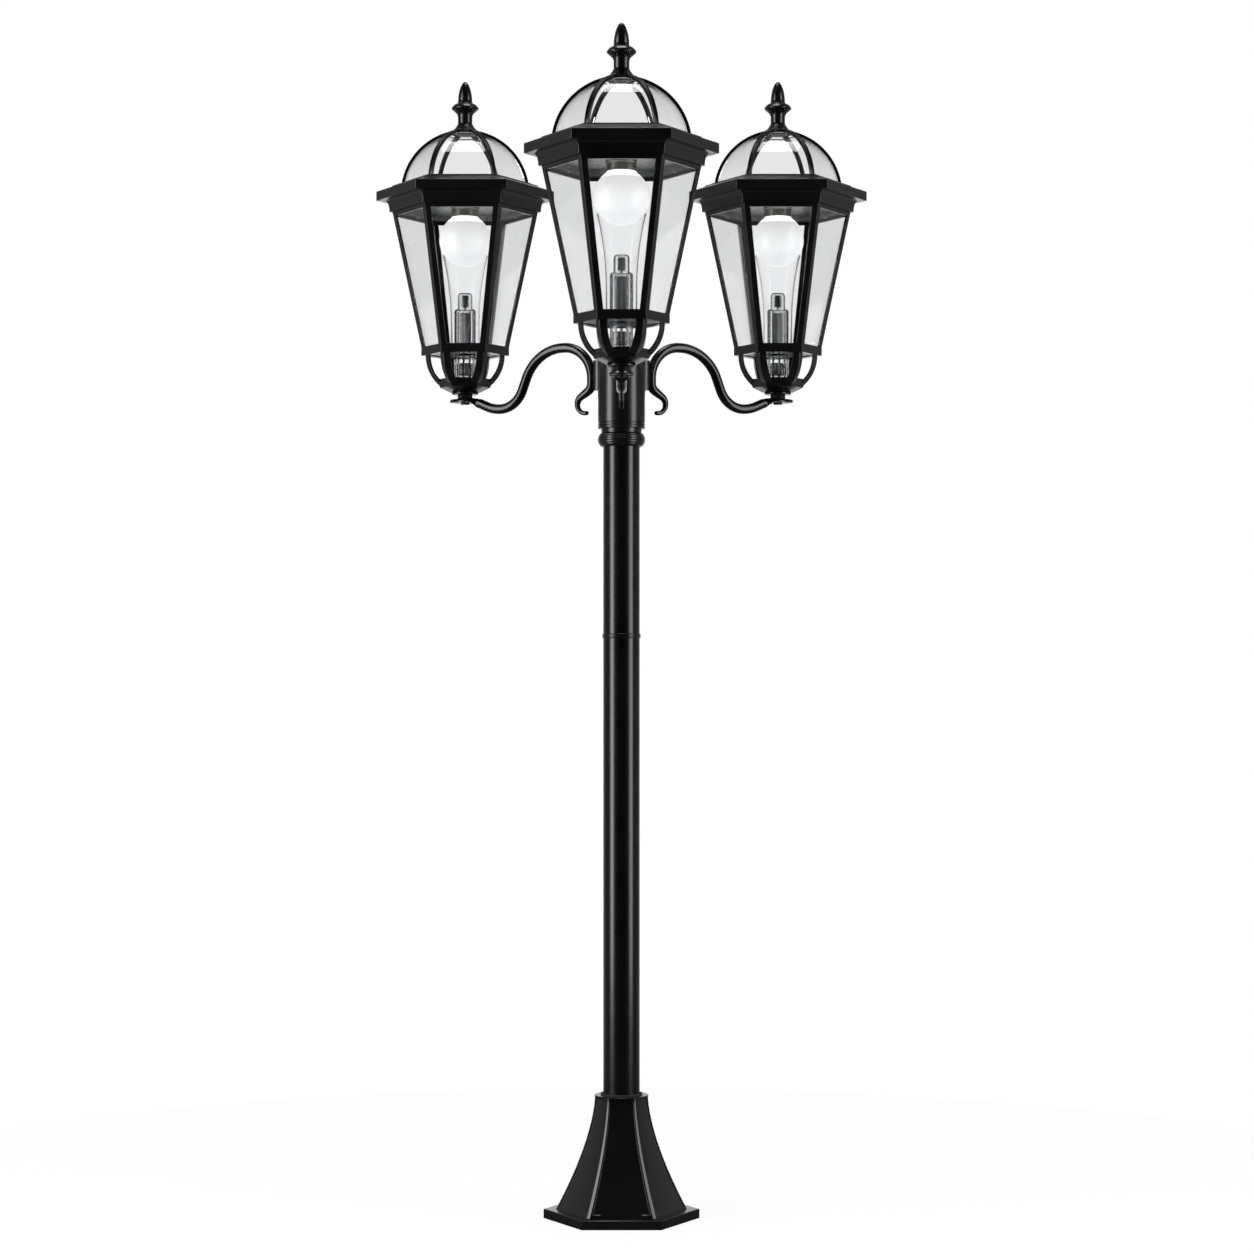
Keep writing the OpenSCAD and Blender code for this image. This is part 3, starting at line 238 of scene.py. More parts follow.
pane_glass = glass("pane_glass", (0.945, 0.948, 0.95))
dome_glass = glass("dome_glass", (0.955, 0.955, 0.955))
CHIMNEY_IOR = 1.13
lamp_glass = glass("lamp_glass", (0.995, 0.995, 0.995), wave=30, depth=0.0001, ior=CHIMNEY_IOR)
fluted_glass = glass("fluted_glass", (0.93, 0.94, 0.945), wave=60, depth=0.0001)
# painted shade and painted reflection: the core's grey, streaked upright, stands in for the dark and light
# lines that the column's flutes show
core_painted_flute_shade = finish(
    "core_painted_flute_shade", (0.03, 0.031, 0.033), (0.17, 0.175, 0.18), (0.15, 0.25), patch=110, depth=0,
    stretch=(1, 1, 0.03)
)
opal = finish("opal", (0.50, 0.50, 0.495), (0.54, 0.54, 0.535), (0.25, 0.32), patch=6, depth=0)
tree = opal.node_tree
opal_shader = tree.nodes["Principled BSDF"]
place = tree.nodes.new("ShaderNodeTexCoord")
axes = tree.nodes.new("ShaderNodeSeparateXYZ")
height = tree.nodes.new("ShaderNodeMapRange")
bulb_low, bulb_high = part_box("bulb_front")
height.inputs["From Min"].default_value = bulb_low.z
height.inputs["From Max"].default_value = bulb_high.z
tree.links.new(place.outputs["Object"], axes.inputs["Vector"])
tree.links.new(axes.outputs["Z"], height.inputs["Value"])
glow_tint = ramp(tree, height.outputs["Result"], (0.95, 0.97, 1.0), (1.0, 0.99, 0.96), 0.1, 0.9)
tree.links.new(glow_tint, opal_shader.inputs["Emission Color"])
glow = tree.nodes.new("ShaderNodeValToRGB")
glow_levels = ((0, 0.235), (0.3, 0.205), (0.62, 0.18), (0.76, 0.185), (0.87, 1))
while len(glow.color_ramp.elements) < len(glow_levels):
    glow.color_ramp.elements.new(0.5)
for element, (at, level) in zip(glow.color_ramp.elements, glow_levels):
    element.position = at
    element.color = (level, level, level, 1)
tree.links.new(height.outputs["Result"], glow.inputs["Fac"])
GLOW = 3.4
tree.links.new(spread(tree, glow.outputs["Color"], 0, GLOW), opal_shader.inputs["Emission Strength"])

# %% [markdown]
# The finishes of the power parts inside the roofs: printed circuit board, battery wrap, moulded
# plastic and wire covering. They show only when a roof is opened, but each still has its own look.

# %% Finishes of the power parts
board_green = finish("board_green", (0.010, 0.075, 0.035), (0.014, 0.105, 0.050), (0.3, 0.4), patch=90)
cell_green = finish("cell_green", (0.02, 0.13, 0.05), (0.03, 0.18, 0.07), (0.3, 0.4), patch=30, depth=0.00001)
black_plastic = finish(
    "black_plastic", (0.012, 0.012, 0.013), (0.020, 0.020, 0.021), (0.42, 0.55), grain=1800
)
red_wire = finish("red_wire", (0.25, 0.012, 0.010), (0.33, 0.018, 0.014), (0.35, 0.45), patch=60)
print("finishes:", [material.name for material in bpy.data.materials])

# %% [markdown]
# The solar panel is a grid of square dark blue cells under glass, with fine silver lines. The grid
# is drawn from Object coordinates with the lantern's own middle taken off, so that it sits the same
# way on all three roofs. Two lines of each cell are wider, where the cells meet.


# %% Solar cells
def line_mask(tree, coordinate, pitch, width):
    """1 on a line of this width at every pitch, and 0 between the lines."""
    return maths(tree, "LESS_THAN", maths(tree, "PINGPONG", coordinate, pitch / 2), width / 2)


def solar_cells(side):
    """Dark cells with silver lines, centred on one lantern."""
    material = finish(
        f"solar_cells_{side}", (0.006, 0.010, 0.030), (0.010, 0.017, 0.048), (0.12, 0.2), patch=60, depth=0
    )
    tree = material.node_tree
    shader = tree.nodes["Principled BSDF"]
    cell_colour = shader.inputs["Base Color"].links[0].from_socket
    place = tree.nodes.new("ShaderNodeTexCoord")
    mapping = tree.nodes.new("ShaderNodeMapping")
    mapping.inputs["Location"].default_value = -PLACES[side] * MM
    axes = tree.nodes.new("ShaderNodeSeparateXYZ")
    tree.links.new(place.outputs["Object"], mapping.inputs["Vector"])
    tree.links.new(mapping.outputs["Vector"], axes.inputs["Vector"])
    cell, cell_gap, wire_pitch, wire = 0.052, 0.0022, 0.013, 0.0005
    masks = [
        line_mask(tree, axes.outputs["X"], cell, cell_gap),
        line_mask(tree, axes.outputs["Y"], cell, cell_gap),
        line_mask(tree, axes.outputs["X"], wire_pitch, wire),
    ]
    colour = cell_colour
    for mask, tint in zip(masks, ((0.02, 0.02, 0.025), (0.02, 0.02, 0.025), (0.30, 0.31, 0.33))):
        mix = tree.nodes.new("ShaderNodeMix")
        mix.data_type = "RGBA"
        mix.inputs["B"].default_value = (*tint, 1)
        tree.links.new(mask, mix.inputs["Factor"])
        tree.links.new(colour, mix.inputs["A"])
        colour = mix.outputs["Result"]
    tree.links.new(colour, shader.inputs["Base Color"])
    shader.inputs["Coat Weight"].default_value = 0.6
    return material


# %% [markdown]
# ## Finished CAD pieces
#
# Flat plates, bolts and the parts inside the roofs already have the right shape in the CAD model,
# so they stay and get a finish. Their edges are softened by a Weld and a Bevel modifier, because
# a CAD mesh is loose triangles: without the weld no two of them share an edge to bevel.


# %% Dress a CAD node
def dress(node, material, edge=0.0):
    """Gives a CAD node a finish, and softens its edges where asked."""
    piece = nodes[node]
    if not piece.material_slots:
        piece.data.materials.append(material)
    for slot in piece.material_slots:
        slot.material = material
    if edge:
        weld = piece.modifiers.new("weld", "WELD")
        weld.merge_threshold = 0.00001
        soft_edges(piece, edge)


def soft_edges(piece, width, segments=2, limit=32):
    """A Bevel modifier on every edge sharper than the limit; width in millimetres."""
    bevel = piece.modifiers.new("edges", "BEVEL")
    bevel.width = width * MM
    bevel.segments = segments
    bevel.limit_method = "ANGLE"
    bevel.angle_limit = radians(limit)
    bevel.harden_normals = True


dress("base_plate", black_casting, 0.9)
dress("seat_nuts", dark_steel, 0.8)
dress("seat_bolts", dark_steel)
dress("arm_screws", bright_zinc)
dress("set_screws", bright_zinc)
dress("roof_screws", bright_zinc)
dress("floor_plates", galvanised)
dress("ceiling_plates", galvanised)
dress("batteries", cell_green)
dress("circuit_boards", board_green)
dress("switch_bodies", black_plastic)
dress("leads", red_wire)
for side in SIDES:
    dress(f"cage_panes_{side}", pane_glass)
    dress(f"solar_panel_{side}", solar_cells(side))
    dress(f"switch_{side}", black_plastic, 0.4)

# %% [markdown]
# ## How the new pieces are made
#
# Nearly everything on this lamp was cast, pressed or turned, so two ways of modelling cover it. A
# profile that is spun in many steps gives a turned piece, and the same profile spun in six steps
# gives a six-sided one. Bars are a ring of points that is extruded from station to station.


# %% Turned pieces and six-sided pieces
def spun(outline, steps=96, closed=True):
    """Spins an outline of [radius, height] points round the upright axis."""
    bm = bmesh.new()
    points = [bm.verts.new((r, 0, z)) for r, z in outline]
    edges = [bm.edges.new(pair) for pair in zip(points, points[1:])]
    if closed:
        edges.append(bm.edges.new((points[-1], points[0])))
    bmesh.ops.spin(
        bm, geom=points + edges, cent=(0, 0, 0), axis=(0, 0, 1), angle=2 * pi, steps=steps, use_merge=True
    )
    bmesh.ops.remove_doubles(bm, verts=bm.verts, dist=0.002)
    bmesh.ops.recalc_face_normals(bm, faces=bm.faces)
    return bm


def loft(rings, caps=True):
    """Extrudes a ring of points from station to station."""
    bm = bmesh.new()
    ring = bmesh.ops.create_circle(bm, cap_ends=caps, segments=len(rings[0]), radius=1)["verts"]
    for vert, point in zip(ring, rings[0]):
        vert.co = point
    edges = bm.edges[:]
    for points in rings[1:]:
        grown = bmesh.ops.extrude_edge_only(bm, edges=edges)["geom"]
        edges = [item for item in grown if isinstance(item, bmesh.types.BMEdge) and len(item.link_faces) == 1]
        fresh = {vert for edge in edges for vert in edge.verts}
        # a new point is joined by one edge to the old point that it grew from
        grew_from = {
            edge.other_vert(vert): vert
            for vert in fresh for edge in vert.link_edges if edge.other_vert(vert) not in fresh
        }
        ring = [grew_from[old] for old in ring]
        for vert, point in zip(ring, points):
            vert.co = point
    if caps:
        bmesh.ops.contextual_create(bm, geom=edges)
    bmesh.ops.recalc_face_normals(bm, faces=bm.faces)
    return bm


def verts_of(grown):
    """The points in what an extrusion made."""
    return [item for item in grown["geom"] if isinstance(item, bmesh.types.BMVert)]


def prism(outline, low_z, rise):
    """Extrudes an outline of [x, y] points from a height along a vector."""
    bm = bmesh.new()
    foot = bm.faces.new([bm.verts.new((x, y, low_z)) for x, y in outline])
    grown = bmesh.ops.extrude_face_region(bm, geom=[foot])
    bmesh.ops.translate(bm, verts=verts_of(grown), vec=rise)
    bmesh.ops.recalc_face_normals(bm, faces=bm.faces)
    return bm


def arc(middle_r, middle_z, radius, start, stop, steps=8):
    """Points on a circle in an outline, from the start angle to the stop angle in degrees."""
    angles = [radians(start + (stop - start) * i / steps) for i in range(steps + 1)]
    return [(middle_r + radius * cos(a), middle_z + radius * sin(a)) for a in angles]


def blend(a, b, t):
    return a + (b - a) * t


# %% Set a piece on the frame
def add_shell(bm, other):
    """Moves another shell's mesh into bm."""
    held = bpy.data.meshes.new("held")
    other.to_mesh(held)
    other.free()
    bm.from_mesh(held)
    bpy.data.meshes.remove(held)


def set_piece(
    name, bm, material, slot, *stands_for, body="post", at=(0, 0, 0), edge=0.0, sharp=32, free=True
):
    """Makes an object of a bmesh in millimetres, in place, and hides the CAD nodes that it stands for."""
    mesh = bpy.data.meshes.new(name)
    bm.to_mesh(mesh)
    if free:
        bm.free()
    mesh.transform(Matrix.Scale(MM, 4) @ Matrix.Translation(at))
    mesh.shade_smooth()
    mesh.set_sharp_from_angle(angle=radians(sharp))
    mesh.materials.append(material)
    piece = bpy.data.objects.new(name, mesh)
    bpy.context.scene.collection.objects.link(piece)
    if edge:
        soft_edges(piece, edge, limit=sharp)
    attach(piece, body)
    if stands_for:
        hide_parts(*stands_for)
    print(f"{name}: {len(mesh.polygons)} faces")
    return piece


def set_lanterns(name, bm, material, slot, node, **options):
    """The same piece on all three lanterns."""
    for side in SIDES:
        stands_for = node.format(side=side)
        set_piece(f"{name}_{side}", bm, material, slot, stands_for, at=PLACES[side], free=False, **options)
    bm.free()


# %% [markdown]
# ## The base cover
#
# The cover is a six-sided trumpet, sand cast with a sunk face on each side. Its corners are cut flat
# and a raised strip runs up both sides of every corner, narrower towards the top. Insetting the
# faces of a spun shape can't make a strip that narrows, so a ring with all of a section's corners is
# extruded from height to height. A Solidify modifier gives the casting its wall afterwards.

# %% One section of the cover
COVER_FOOT_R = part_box("base_cover")[1].x / MM
COVER_TOP_R = 51.0
COVER_DISC_T = 3.0
PANEL_DEPTH = 2.0
FLARE_POWER = 1.55
flare_h = COVER_TOP_Z - COVER_DISC_T - COVER_Z


def cover_section(height, sunk):
    """The cover's outline at a height, with its faces sunk from 0 (flush) to 1."""
    low = 1 - height / flare_h
    radius = blend(COVER_TOP_R - 0.2, COVER_FOOT_R, low ** FLARE_POWER)
    cut, strip, step = blend(1.7, 3.8, low), blend(1.1, 3.0, low), 1.3
    reach = radius / 2 - cut
    panel = reach - strip - step
    crown = 2.2 * panel / 55
    half = [(reach, 0.0), (reach - strip, 0.0)]
    half += [(panel * u, sunk * (PANEL_DEPTH - crown * (1 - u * u))) for u in (1, 0.75, 0.5, 0.25)]
    side = [(-u, depth) for u, depth in half] + [(0.0, sunk * (PANEL_DEPTH - crown))] + half[::-1]
    points = []
    for turn in range(6):
        angle = radians(30 + 60 * turn)
        out, along = Vector((cos(angle), sin(angle), 0)), Vector((-sin(angle), cos(angle), 0))
        up = Vector((0, 0, COVER_Z + height))
        points += [out * (radius * FLAT - depth) + along * u + up for u, depth in side]
    return points


# %% Flared cover with sunk faces
BORDER, RISE = 5.5, 1.4
levels = [(0, 0), (BORDER, 0), (BORDER + RISE, 1)]
levels += [(blend(BORDER + RISE, flare_h - 4, i / 30), 1) for i in range(1, 31)]
levels += [(flare_h - 2.8, 0), (flare_h, 0)]
cover = loft([cover_section(height, sunk) for height, sunk in levels], caps=False)
if sum(face.normal.dot(face.calc_center_median().xy.to_3d()) for face in cover.faces) < 0:
    bmesh.ops.reverse_faces(cover, faces=cover.faces)
base_cover = set_piece(
    "base_cover", cover, black_casting, "black_casting", "base_cover", body="base_cover", sharp=24
)
COVER_WALL = 5
wall = base_cover.modifiers.new("wall", "SOLIDIFY")
wall.thickness = COVER_WALL * MM
wall.offset = -1
soft_edges(base_cover, 0.4, limit=24)

# %% The disc on top of the cover, with a raised inner ring
HOLE_R = POLE_R + 2.5
disc_low = COVER_TOP_Z - COVER_DISC_T
disc = spun([
    (HOLE_R, disc_low), (COVER_TOP_R - 1, disc_low), (COVER_TOP_R, disc_low + 0.8),
    (COVER_TOP_R, COVER_TOP_Z - 1), (COVER_TOP_R - 1, COVER_TOP_Z), (HOLE_R, COVER_TOP_Z),
])
set_piece("cover_disc", disc, black_casting, "black_casting", "base_cover", body="base_cover")
ring_out = POLE_R + 5.1
grommet = spun([
    (POLE_R + SLIP, COVER_TOP_Z - COVER_DISC_T), (POLE_R + 2.4, COVER_TOP_Z - COVER_DISC_T),
    (POLE_R + 2.4, COVER_TOP_Z), (ring_out, COVER_TOP_Z), (ring_out, COVER_TOP_Z + 2.2),
    (ring_out - 1.2, COVER_TOP_Z + 3.5), (POLE_R + 1.2, COVER_TOP_Z + 3.5),
    (POLE_R + SLIP, COVER_TOP_Z + 2.6),
])
set_piece("cover_ring", grommet, soft_rubber, "rubber", "cover_ring", body="base_cover")

# %% [markdown]
# ## The pole, its rings and the hub
#
# All of these were turned or drawn round, so each is an outline spun in 96 steps. The beads of the
# rings are arcs in that outline. Drawing them there keeps them exact, where a bevel would not.

# %% Pole in two lengths
pole_bore = POLE_R - 2.5
lower = spun([
    (pole_bore, 17.5), (POLE_R, 17.5), (POLE_R, JOINT_Z - 0.4), (POLE_R - 0.4, JOINT_Z), (pole_bore, JOINT_Z)
], steps=128)
set_piece("lower_pole", lower, black_paint, "black_pole", "lower_pole")
SPIGOT_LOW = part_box("upper_pole")[0].z / MM
spigot_r = pole_bore - 0.1
upper = spun([
    (spigot_r - 2.5, SPIGOT_LOW), (spigot_r, SPIGOT_LOW), (spigot_r, JOINT_Z), (POLE_R - 0.4, JOINT_Z),
    (POLE_R, JOINT_Z + 0.4), (POLE_R, POLE_END_Z), (spigot_r - 2.5, POLE_END_Z),
], steps=128)
set_piece("upper_pole", upper, black_paint, "black_pole", "upper_pole")

# %% Two-bead ring over the joint
BEAD_R = 2.375
bead_mid = POLE_R + 2 - BEAD_R
ring_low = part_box("joint_ring")[0].z / MM
out = degrees(acos((POLE_R + SLIP - bead_mid) / BEAD_R))
dip = degrees(acos((POLE_R + 1.3 - bead_mid) / BEAD_R))
joint_ring = spun(
    arc(bead_mid, ring_low + BEAD_R, BEAD_R, -out, dip)
    + arc(bead_mid, ring_low + 3 * BEAD_R, BEAD_R, -dip, out)
)
set_piece("joint_ring", joint_ring, black_casting, "black_pole", "joint_ring")

# %% Grooved barrel of a collar under the hub
collar_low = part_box("hub_collar")[0].z / MM
neck_r = POLE_R + 3.7
COLLAR_R, COLLAR_H, RINGS = 45.0, 27.0, 5
barrel_r = ((COLLAR_H / 2) ** 2 + (COLLAR_R - neck_r) ** 2) / (2 * (COLLAR_R - neck_r))
collar_outline = [(POLE_R + SLIP, collar_low), (neck_r - 0.8, collar_low)]
for i in range(8 * RINGS + 1):
    angle = asin((i / (8 * RINGS) - 0.5) * COLLAR_H / barrel_r)
    groove = 0.85 * (1 - abs(sin(pi * i / 8)) ** 0.6)
    reach = barrel_r - groove
    collar_outline.append(
        (COLLAR_R - barrel_r + reach * cos(angle), collar_low + COLLAR_H / 2 + reach * sin(angle))
    )
collar_outline += [(neck_r, collar_low + COLLAR_H + 1), (neck_r, HUB_Z), (POLE_R + SLIP, HUB_Z)]
set_piece("hub_collar", spun(collar_outline), black_casting, "black_pole", "hub_collar", sharp=50)

# %% Hub sleeve with two fine grooves
HUB_R = 44.5
hub_outline = [(POLE_R + SLIP, HUB_Z)] + arc(HUB_R - 1.5, HUB_Z + 1.5, 1.5, -90, 0, 4)
for groove in (4.5, 10):
    low = HUB_Z + groove
    hub_outline += [
        (HUB_R, low - 0.3), (HUB_R - 0.3, low), (HUB_R - 1.1, low + 0.3), (HUB_R - 1.1, low + 1.7),
        (HUB_R - 0.3, low + 2), (HUB_R, low + 2.3)
    ]
hub_outline += arc(HUB_R - 1.5, HUB_TOP_Z - 1.5, 1.5, 0, 90, 4) + [(POLE_R + SLIP, HUB_TOP_Z)]
hub = spun(hub_outline, steps=128)

# %% Three grooved pads on the hub
BAR_R = 9.4
UPRIGHT_X = HUB_R + 11 + BAR_R
PAD_TOP = HUB_TOP_Z - 4
PAD_H = 57.0
seat_r = BAR_R + 0.35
lip = asin(6.8 / seat_r)
groove_arc = arc(UPRIGHT_X, 0, seat_r, 180 - degrees(lip), 180 + degrees(lip), 12)
bulge = [
    (blend(HUB_R - 4, UPRIGHT_X - seat_r * cos(lip), i / 8), 6.8 + 1.7 * sin(pi * i / 8)) for i in range(8)
]
pad_outline = bulge + groove_arc + [(x, -y) for x, y in bulge[::-1]]
for turn in TURNS.values():
    pad = prism(pad_outline, PAD_TOP - PAD_H, (0, 0, PAD_H))
    bmesh.ops.rotate(pad, verts=pad.verts, cent=(0, 0, 0), matrix=Matrix.Rotation(turn, 3, "Z"))
    add_shell(hub, pad)
set_piece("hub", hub, black_casting, "black_casting", "hub", edge=0.8, sharp=40)

# %% Domed cap
CAP_RISE = 13.0
cap_curve = (HUB_R**2 + CAP_RISE**2) / (2 * CAP_RISE)
cap_angle = degrees(asin(HUB_R / cap_curve))
cap_outline = (
    [(0, HUB_TOP_Z - 10), (POLE_R, HUB_TOP_Z - 10), (POLE_R, HUB_TOP_Z)]
    + arc(0, HUB_TOP_Z + CAP_RISE - cap_curve, cap_curve, 90 - cap_angle, 90, 16)
)
set_piece("hub_cap", spun(cap_outline, closed=False), black_casting, "black_casting", "hub_cap", edge=0.6)

# %% [markdown]
# ## The scroll arms
#
# A real arm is one bar, bent cold: a hook under the hub, an arch, a long S and, at the end, a stretch
# that is hammered out into a leaf on which the lantern stands. It could be a curve with a round
# bevel, but a curve can't turn from a round bar into a flat leaf. So a ring of points is extruded
# along the bar's middle line, and each new ring is set to the bar's own section at that place.


# %% The bar's middle line
def walk(x, z, heading, moves, step=5.0):
    """Stations [x, z, heading] along straight lengths and [radius, angle] bends."""
    stations = [(x, z, heading)]
    for move in moves:
        if isinstance(move, tuple):
            radius, angle = move[0], radians(move[1])
            count = max(2, int(radius * abs(angle) / step))
            side = 1 if angle > 0 else -1
            mid_x, mid_z = x - side * radius * sin(heading), z + side * radius * cos(heading)
            for i in range(1, count + 1):
                turned = heading + angle * i / count
                turned_x = mid_x + side * radius * sin(turned)
                stations.append((turned_x, mid_z - side * radius * cos(turned), turned))
        else:
            count = max(1, int(move / (2 * step)))
            for i in range(1, count + 1):
                reach = move * i / count
                stations.append((x + reach * cos(heading), z + reach * sin(heading), heading))
        x, z, heading = stations[-1]
    return stations


HOOK_Z = HUB_Z + 90
CURL_R, HOOK_R, HOOK_RUN, TIP_RUN = 16.9, 18.0, 19.0, 3.5
HOOK_ANGLE = 57
UPRIGHT_LEN, ARCH_R, ARCH_RUN = 9.0, 61.0, 5.0
FALL_R, FALL_ANGLE, FALL_RUN, DIP_R, RISE_R, RISE_ANGLE, END_RUN = 86.0, 68, 24.5, 54.0, 80.0, 23, 16.4
slant = radians(HOOK_ANGLE)
curl_x = UPRIGHT_X + HOOK_R * (1 - cos(slant)) + HOOK_RUN * sin(slant) - CURL_R * cos(slant)
curl_z = HOOK_Z - (HOOK_R + CURL_R) * sin(slant) - HOOK_RUN * cos(slant)
bar_line = walk(
    curl_x - TIP_RUN, curl_z - CURL_R, 0.0,
    [TIP_RUN, (CURL_R, 90 + HOOK_ANGLE), HOOK_RUN, (HOOK_R, -HOOK_ANGLE), UPRIGHT_LEN, (ARCH_R, -90),
     ARCH_RUN, (FALL_R, -FALL_ANGLE), FALL_RUN, (DIP_R, FALL_ANGLE), (RISE_R, RISE_ANGLE), END_RUN], step=3.0,
)
bar_end = bar_line[-1]
print(f"bar: {len(bar_line)} stations, ends at {bar_end[0]:.2f}, {bar_end[1]:.2f} mm")

# %% Round bar, tapered tip and hammered leaf
LEAF_LEN, LEAF_W, LEAF_T = 35.0, 23.0, 8.0
leaf_curve = (LEAF_LEN**2 + LEAF_W**2) / (2 * LEAF_W)
SECTION = 32


def smooth(t):
    t = min(1, max(0, t))
    return t * t * (3 - 2 * t)


def leaf_half_width(x):
    """Half the leaf's width at a distance from the lantern's axis."""
    dx = min(abs(x - HEAD_X), LEAF_LEN)
    return max(0.6, sqrt(leaf_curve**2 - dx**2) - (leaf_curve - LEAF_W))


def bar_sections():
    """Every station's middle, heading, half height, half width and squareness."""
    run = 0.0
    sections = []
    last = bar_line[0]
    for x, z, heading in bar_line:
        run += sqrt((x - last[0]) ** 2 + (z - last[1]) ** 2)
        last = (x, z)
        radius = blend(4.2, BAR_R, smooth(run / 90))
        if not sections:
            for angle in (80, 55, 30):
                back = radius * sin(radians(angle))
                narrow = radius * cos(radians(angle))
                sections.append((x - back, z, heading, narrow, narrow, 2.0))
        sections.append((x, z, heading, radius, radius, 2.0))
    x0, z0, climb = bar_end
    for i in range(1, 25):
        t = i / 24
        x = blend(x0, HEAD_X + LEAF_LEN - 0.4, t)
        thin = smooth((x - x0) / 20)
        half_h = blend(BAR_R, LEAF_T / 2, thin)
        edge = 1 if x < HEAD_X + 20 else sqrt(max(0.06, 1 - ((x - HEAD_X - 20) / 15) ** 2))
        width = max(blend(BAR_R, 0, smooth((x - x0) / 30)), leaf_half_width(x))
        heading = blend(climb, 0, smooth((x - x0) / 14))
        mid_z = blend(z0, SEAT_Z - LEAF_T / 2, smooth((x - x0) / 17))
        sections.append((x, mid_z, heading, half_h * edge, width, blend(2.0, 3.6, thin)))
    return sections


def section_point(section, angle):
    """One point of a section's outline, in the arm's own plane (x outwards, y to the side)."""
    x, z, heading, half_h, half_w, square = section
    side, up = sin(angle), cos(angle)
    side = (1 if side >= 0 else -1) * abs(side) ** (2 / square) * half_w
    up = (1 if up >= 0 else -1) * abs(up) ** (2 / square) * half_h
    droop = 0.035 * max(0.0, abs(side) - 14.6) ** 2 if square > 3 else 0.0
    return Vector((x - up * sin(heading), side, z + up * cos(heading) - droop))


turns = [2 * pi * i / SECTION for i in range(SECTION)]
arm = loft([[section_point(section, angle) for angle in turns] for section in bar_sections()])
for side in SIDES:
    turned_arm = arm.copy()
    matrix = Matrix.Rotation(TURNS[side], 3, "Z")
    bmesh.ops.rotate(turned_arm, verts=turned_arm.verts, cent=(0, 0, 0), matrix=matrix)
    set_piece(f"arm_{side}", turned_arm, black_paint, "black_casting", f"arm_{side}", sharp=50)
arm.free()

# %% [markdown]
# ## The lantern's foot: cup and basket
#
# The lantern stands on a round foot. Above it a shallow six-sided cup is cast in one with six bowed
# ribs, which leave an open basket. Each rib is an angle section, like a corner post, that is spun
# about a level axis, so that it bows outwards evenly. The other five are turned copies of it.

# %% Foot and cup
FOOT_Z, CUP_Z, CUP_TOP_R, BASKET_Z = 8, 12, 55, 38.0
foot = spun([
    (0, FOOT_Z), (24.8, FOOT_Z), (26, FOOT_Z + 1), (26, CUP_Z - 1), (24.8, CUP_Z), (0, CUP_Z)
], closed=False)
cup = spun([
    (0, CUP_Z), (28.3, CUP_Z), (49, 22), (CUP_TOP_R, BASKET_Z), (45, BASKET_Z), (43.2, 30), (0, 30)
], steps=6, closed=False)


def six_copies(bm):
    """Five more copies of everything, a sixth of a turn apart."""
    everything = bm.verts[:] + bm.edges[:] + bm.faces[:]
    bmesh.ops.spin(
        bm, geom=everything, cent=(0, 0, 0), axis=(0, 0, 1), angle=radians(300), steps=5, use_duplicate=True
    )
    return bm


# %% Bowed ribs
RIB_WING, RIB_T, RIB_BOW, RIB_FOOT = 13.5, 4.0, 6.6, 14
RIB_TOP_R, RING_Z = 77.0, 84.0
basket_h = RING_Z - BASKET_Z
rib_curve = basket_h / sin(2 * atan((RIB_TOP_R - CUP_TOP_R - RIB_BOW) / basket_h))
rib_sweep = degrees(asin((basket_h + RIB_FOOT) / rib_curve))
rib_mid = Vector((RIB_TOP_R - rib_curve, 0, RING_Z))
wing_end = (rib_curve - RIB_WING / 2, RIB_WING * FLAT)
wing_back = (wing_end[0] - RIB_T * FLAT, wing_end[1] - RIB_T / 2)
rib_outline = [
    (rib_curve, 0), wing_end, wing_back, (rib_curve - RIB_T / FLAT, 0), (wing_back[0], -wing_back[1]),
    (wing_end[0], -wing_end[1])
]


def bowed(outline, centre, start, sweep, steps):
    """Spins an outline of [radius, y] points about a level axis through a centre."""
    bm = bmesh.new()
    loop = [bm.verts.new((centre[0] + r, y, centre[2])) for r, y in outline]
    end = bm.faces.new(loop)
    bmesh.ops.rotate(bm, verts=loop, cent=centre, matrix=Matrix.Rotation(-radians(start), 3, "Y"))
    bmesh.ops.spin(
        bm, geom=loop + end.edges[:] + [end], cent=centre, axis=(0, 1, 0), angle=-radians(sweep), steps=steps
    )
    bmesh.ops.remove_doubles(bm, verts=bm.verts, dist=0.002)
    bmesh.ops.recalc_face_normals(bm, faces=bm.faces)
    return bm


rib = bowed(rib_outline, rib_mid, -rib_sweep, rib_sweep + 0.4, 16)
basket = cup
add_shell(basket, foot)
add_shell(basket, six_copies(rib))
set_lanterns("basket", basket, black_casting, "black_casting", "basket_{side}", edge=0.7)

# %% [markdown]
# ## The cage
#
# The cage tapers outwards to the roof. Its posts are angle sections with their corner outwards, so
# one L-shaped face is extruded upwards and its top moved out along the slope. The lower ring has a
# ledge for the floor plate and a sill for the panes, and the upper rim holds the panes' top edges.

# %% Ring, rim and corner posts
RING_R, CAGE_Z, ROOF_Z, CAGE_TOP_R = 85.5, 101.0, 363.0, 141.5
CAGE_SLOPE = (CAGE_TOP_R - RING_R) / (ROOF_Z - CAGE_Z)


def cage_r(z):
    return RING_R + (z - CAGE_Z) * CAGE_SLOPE


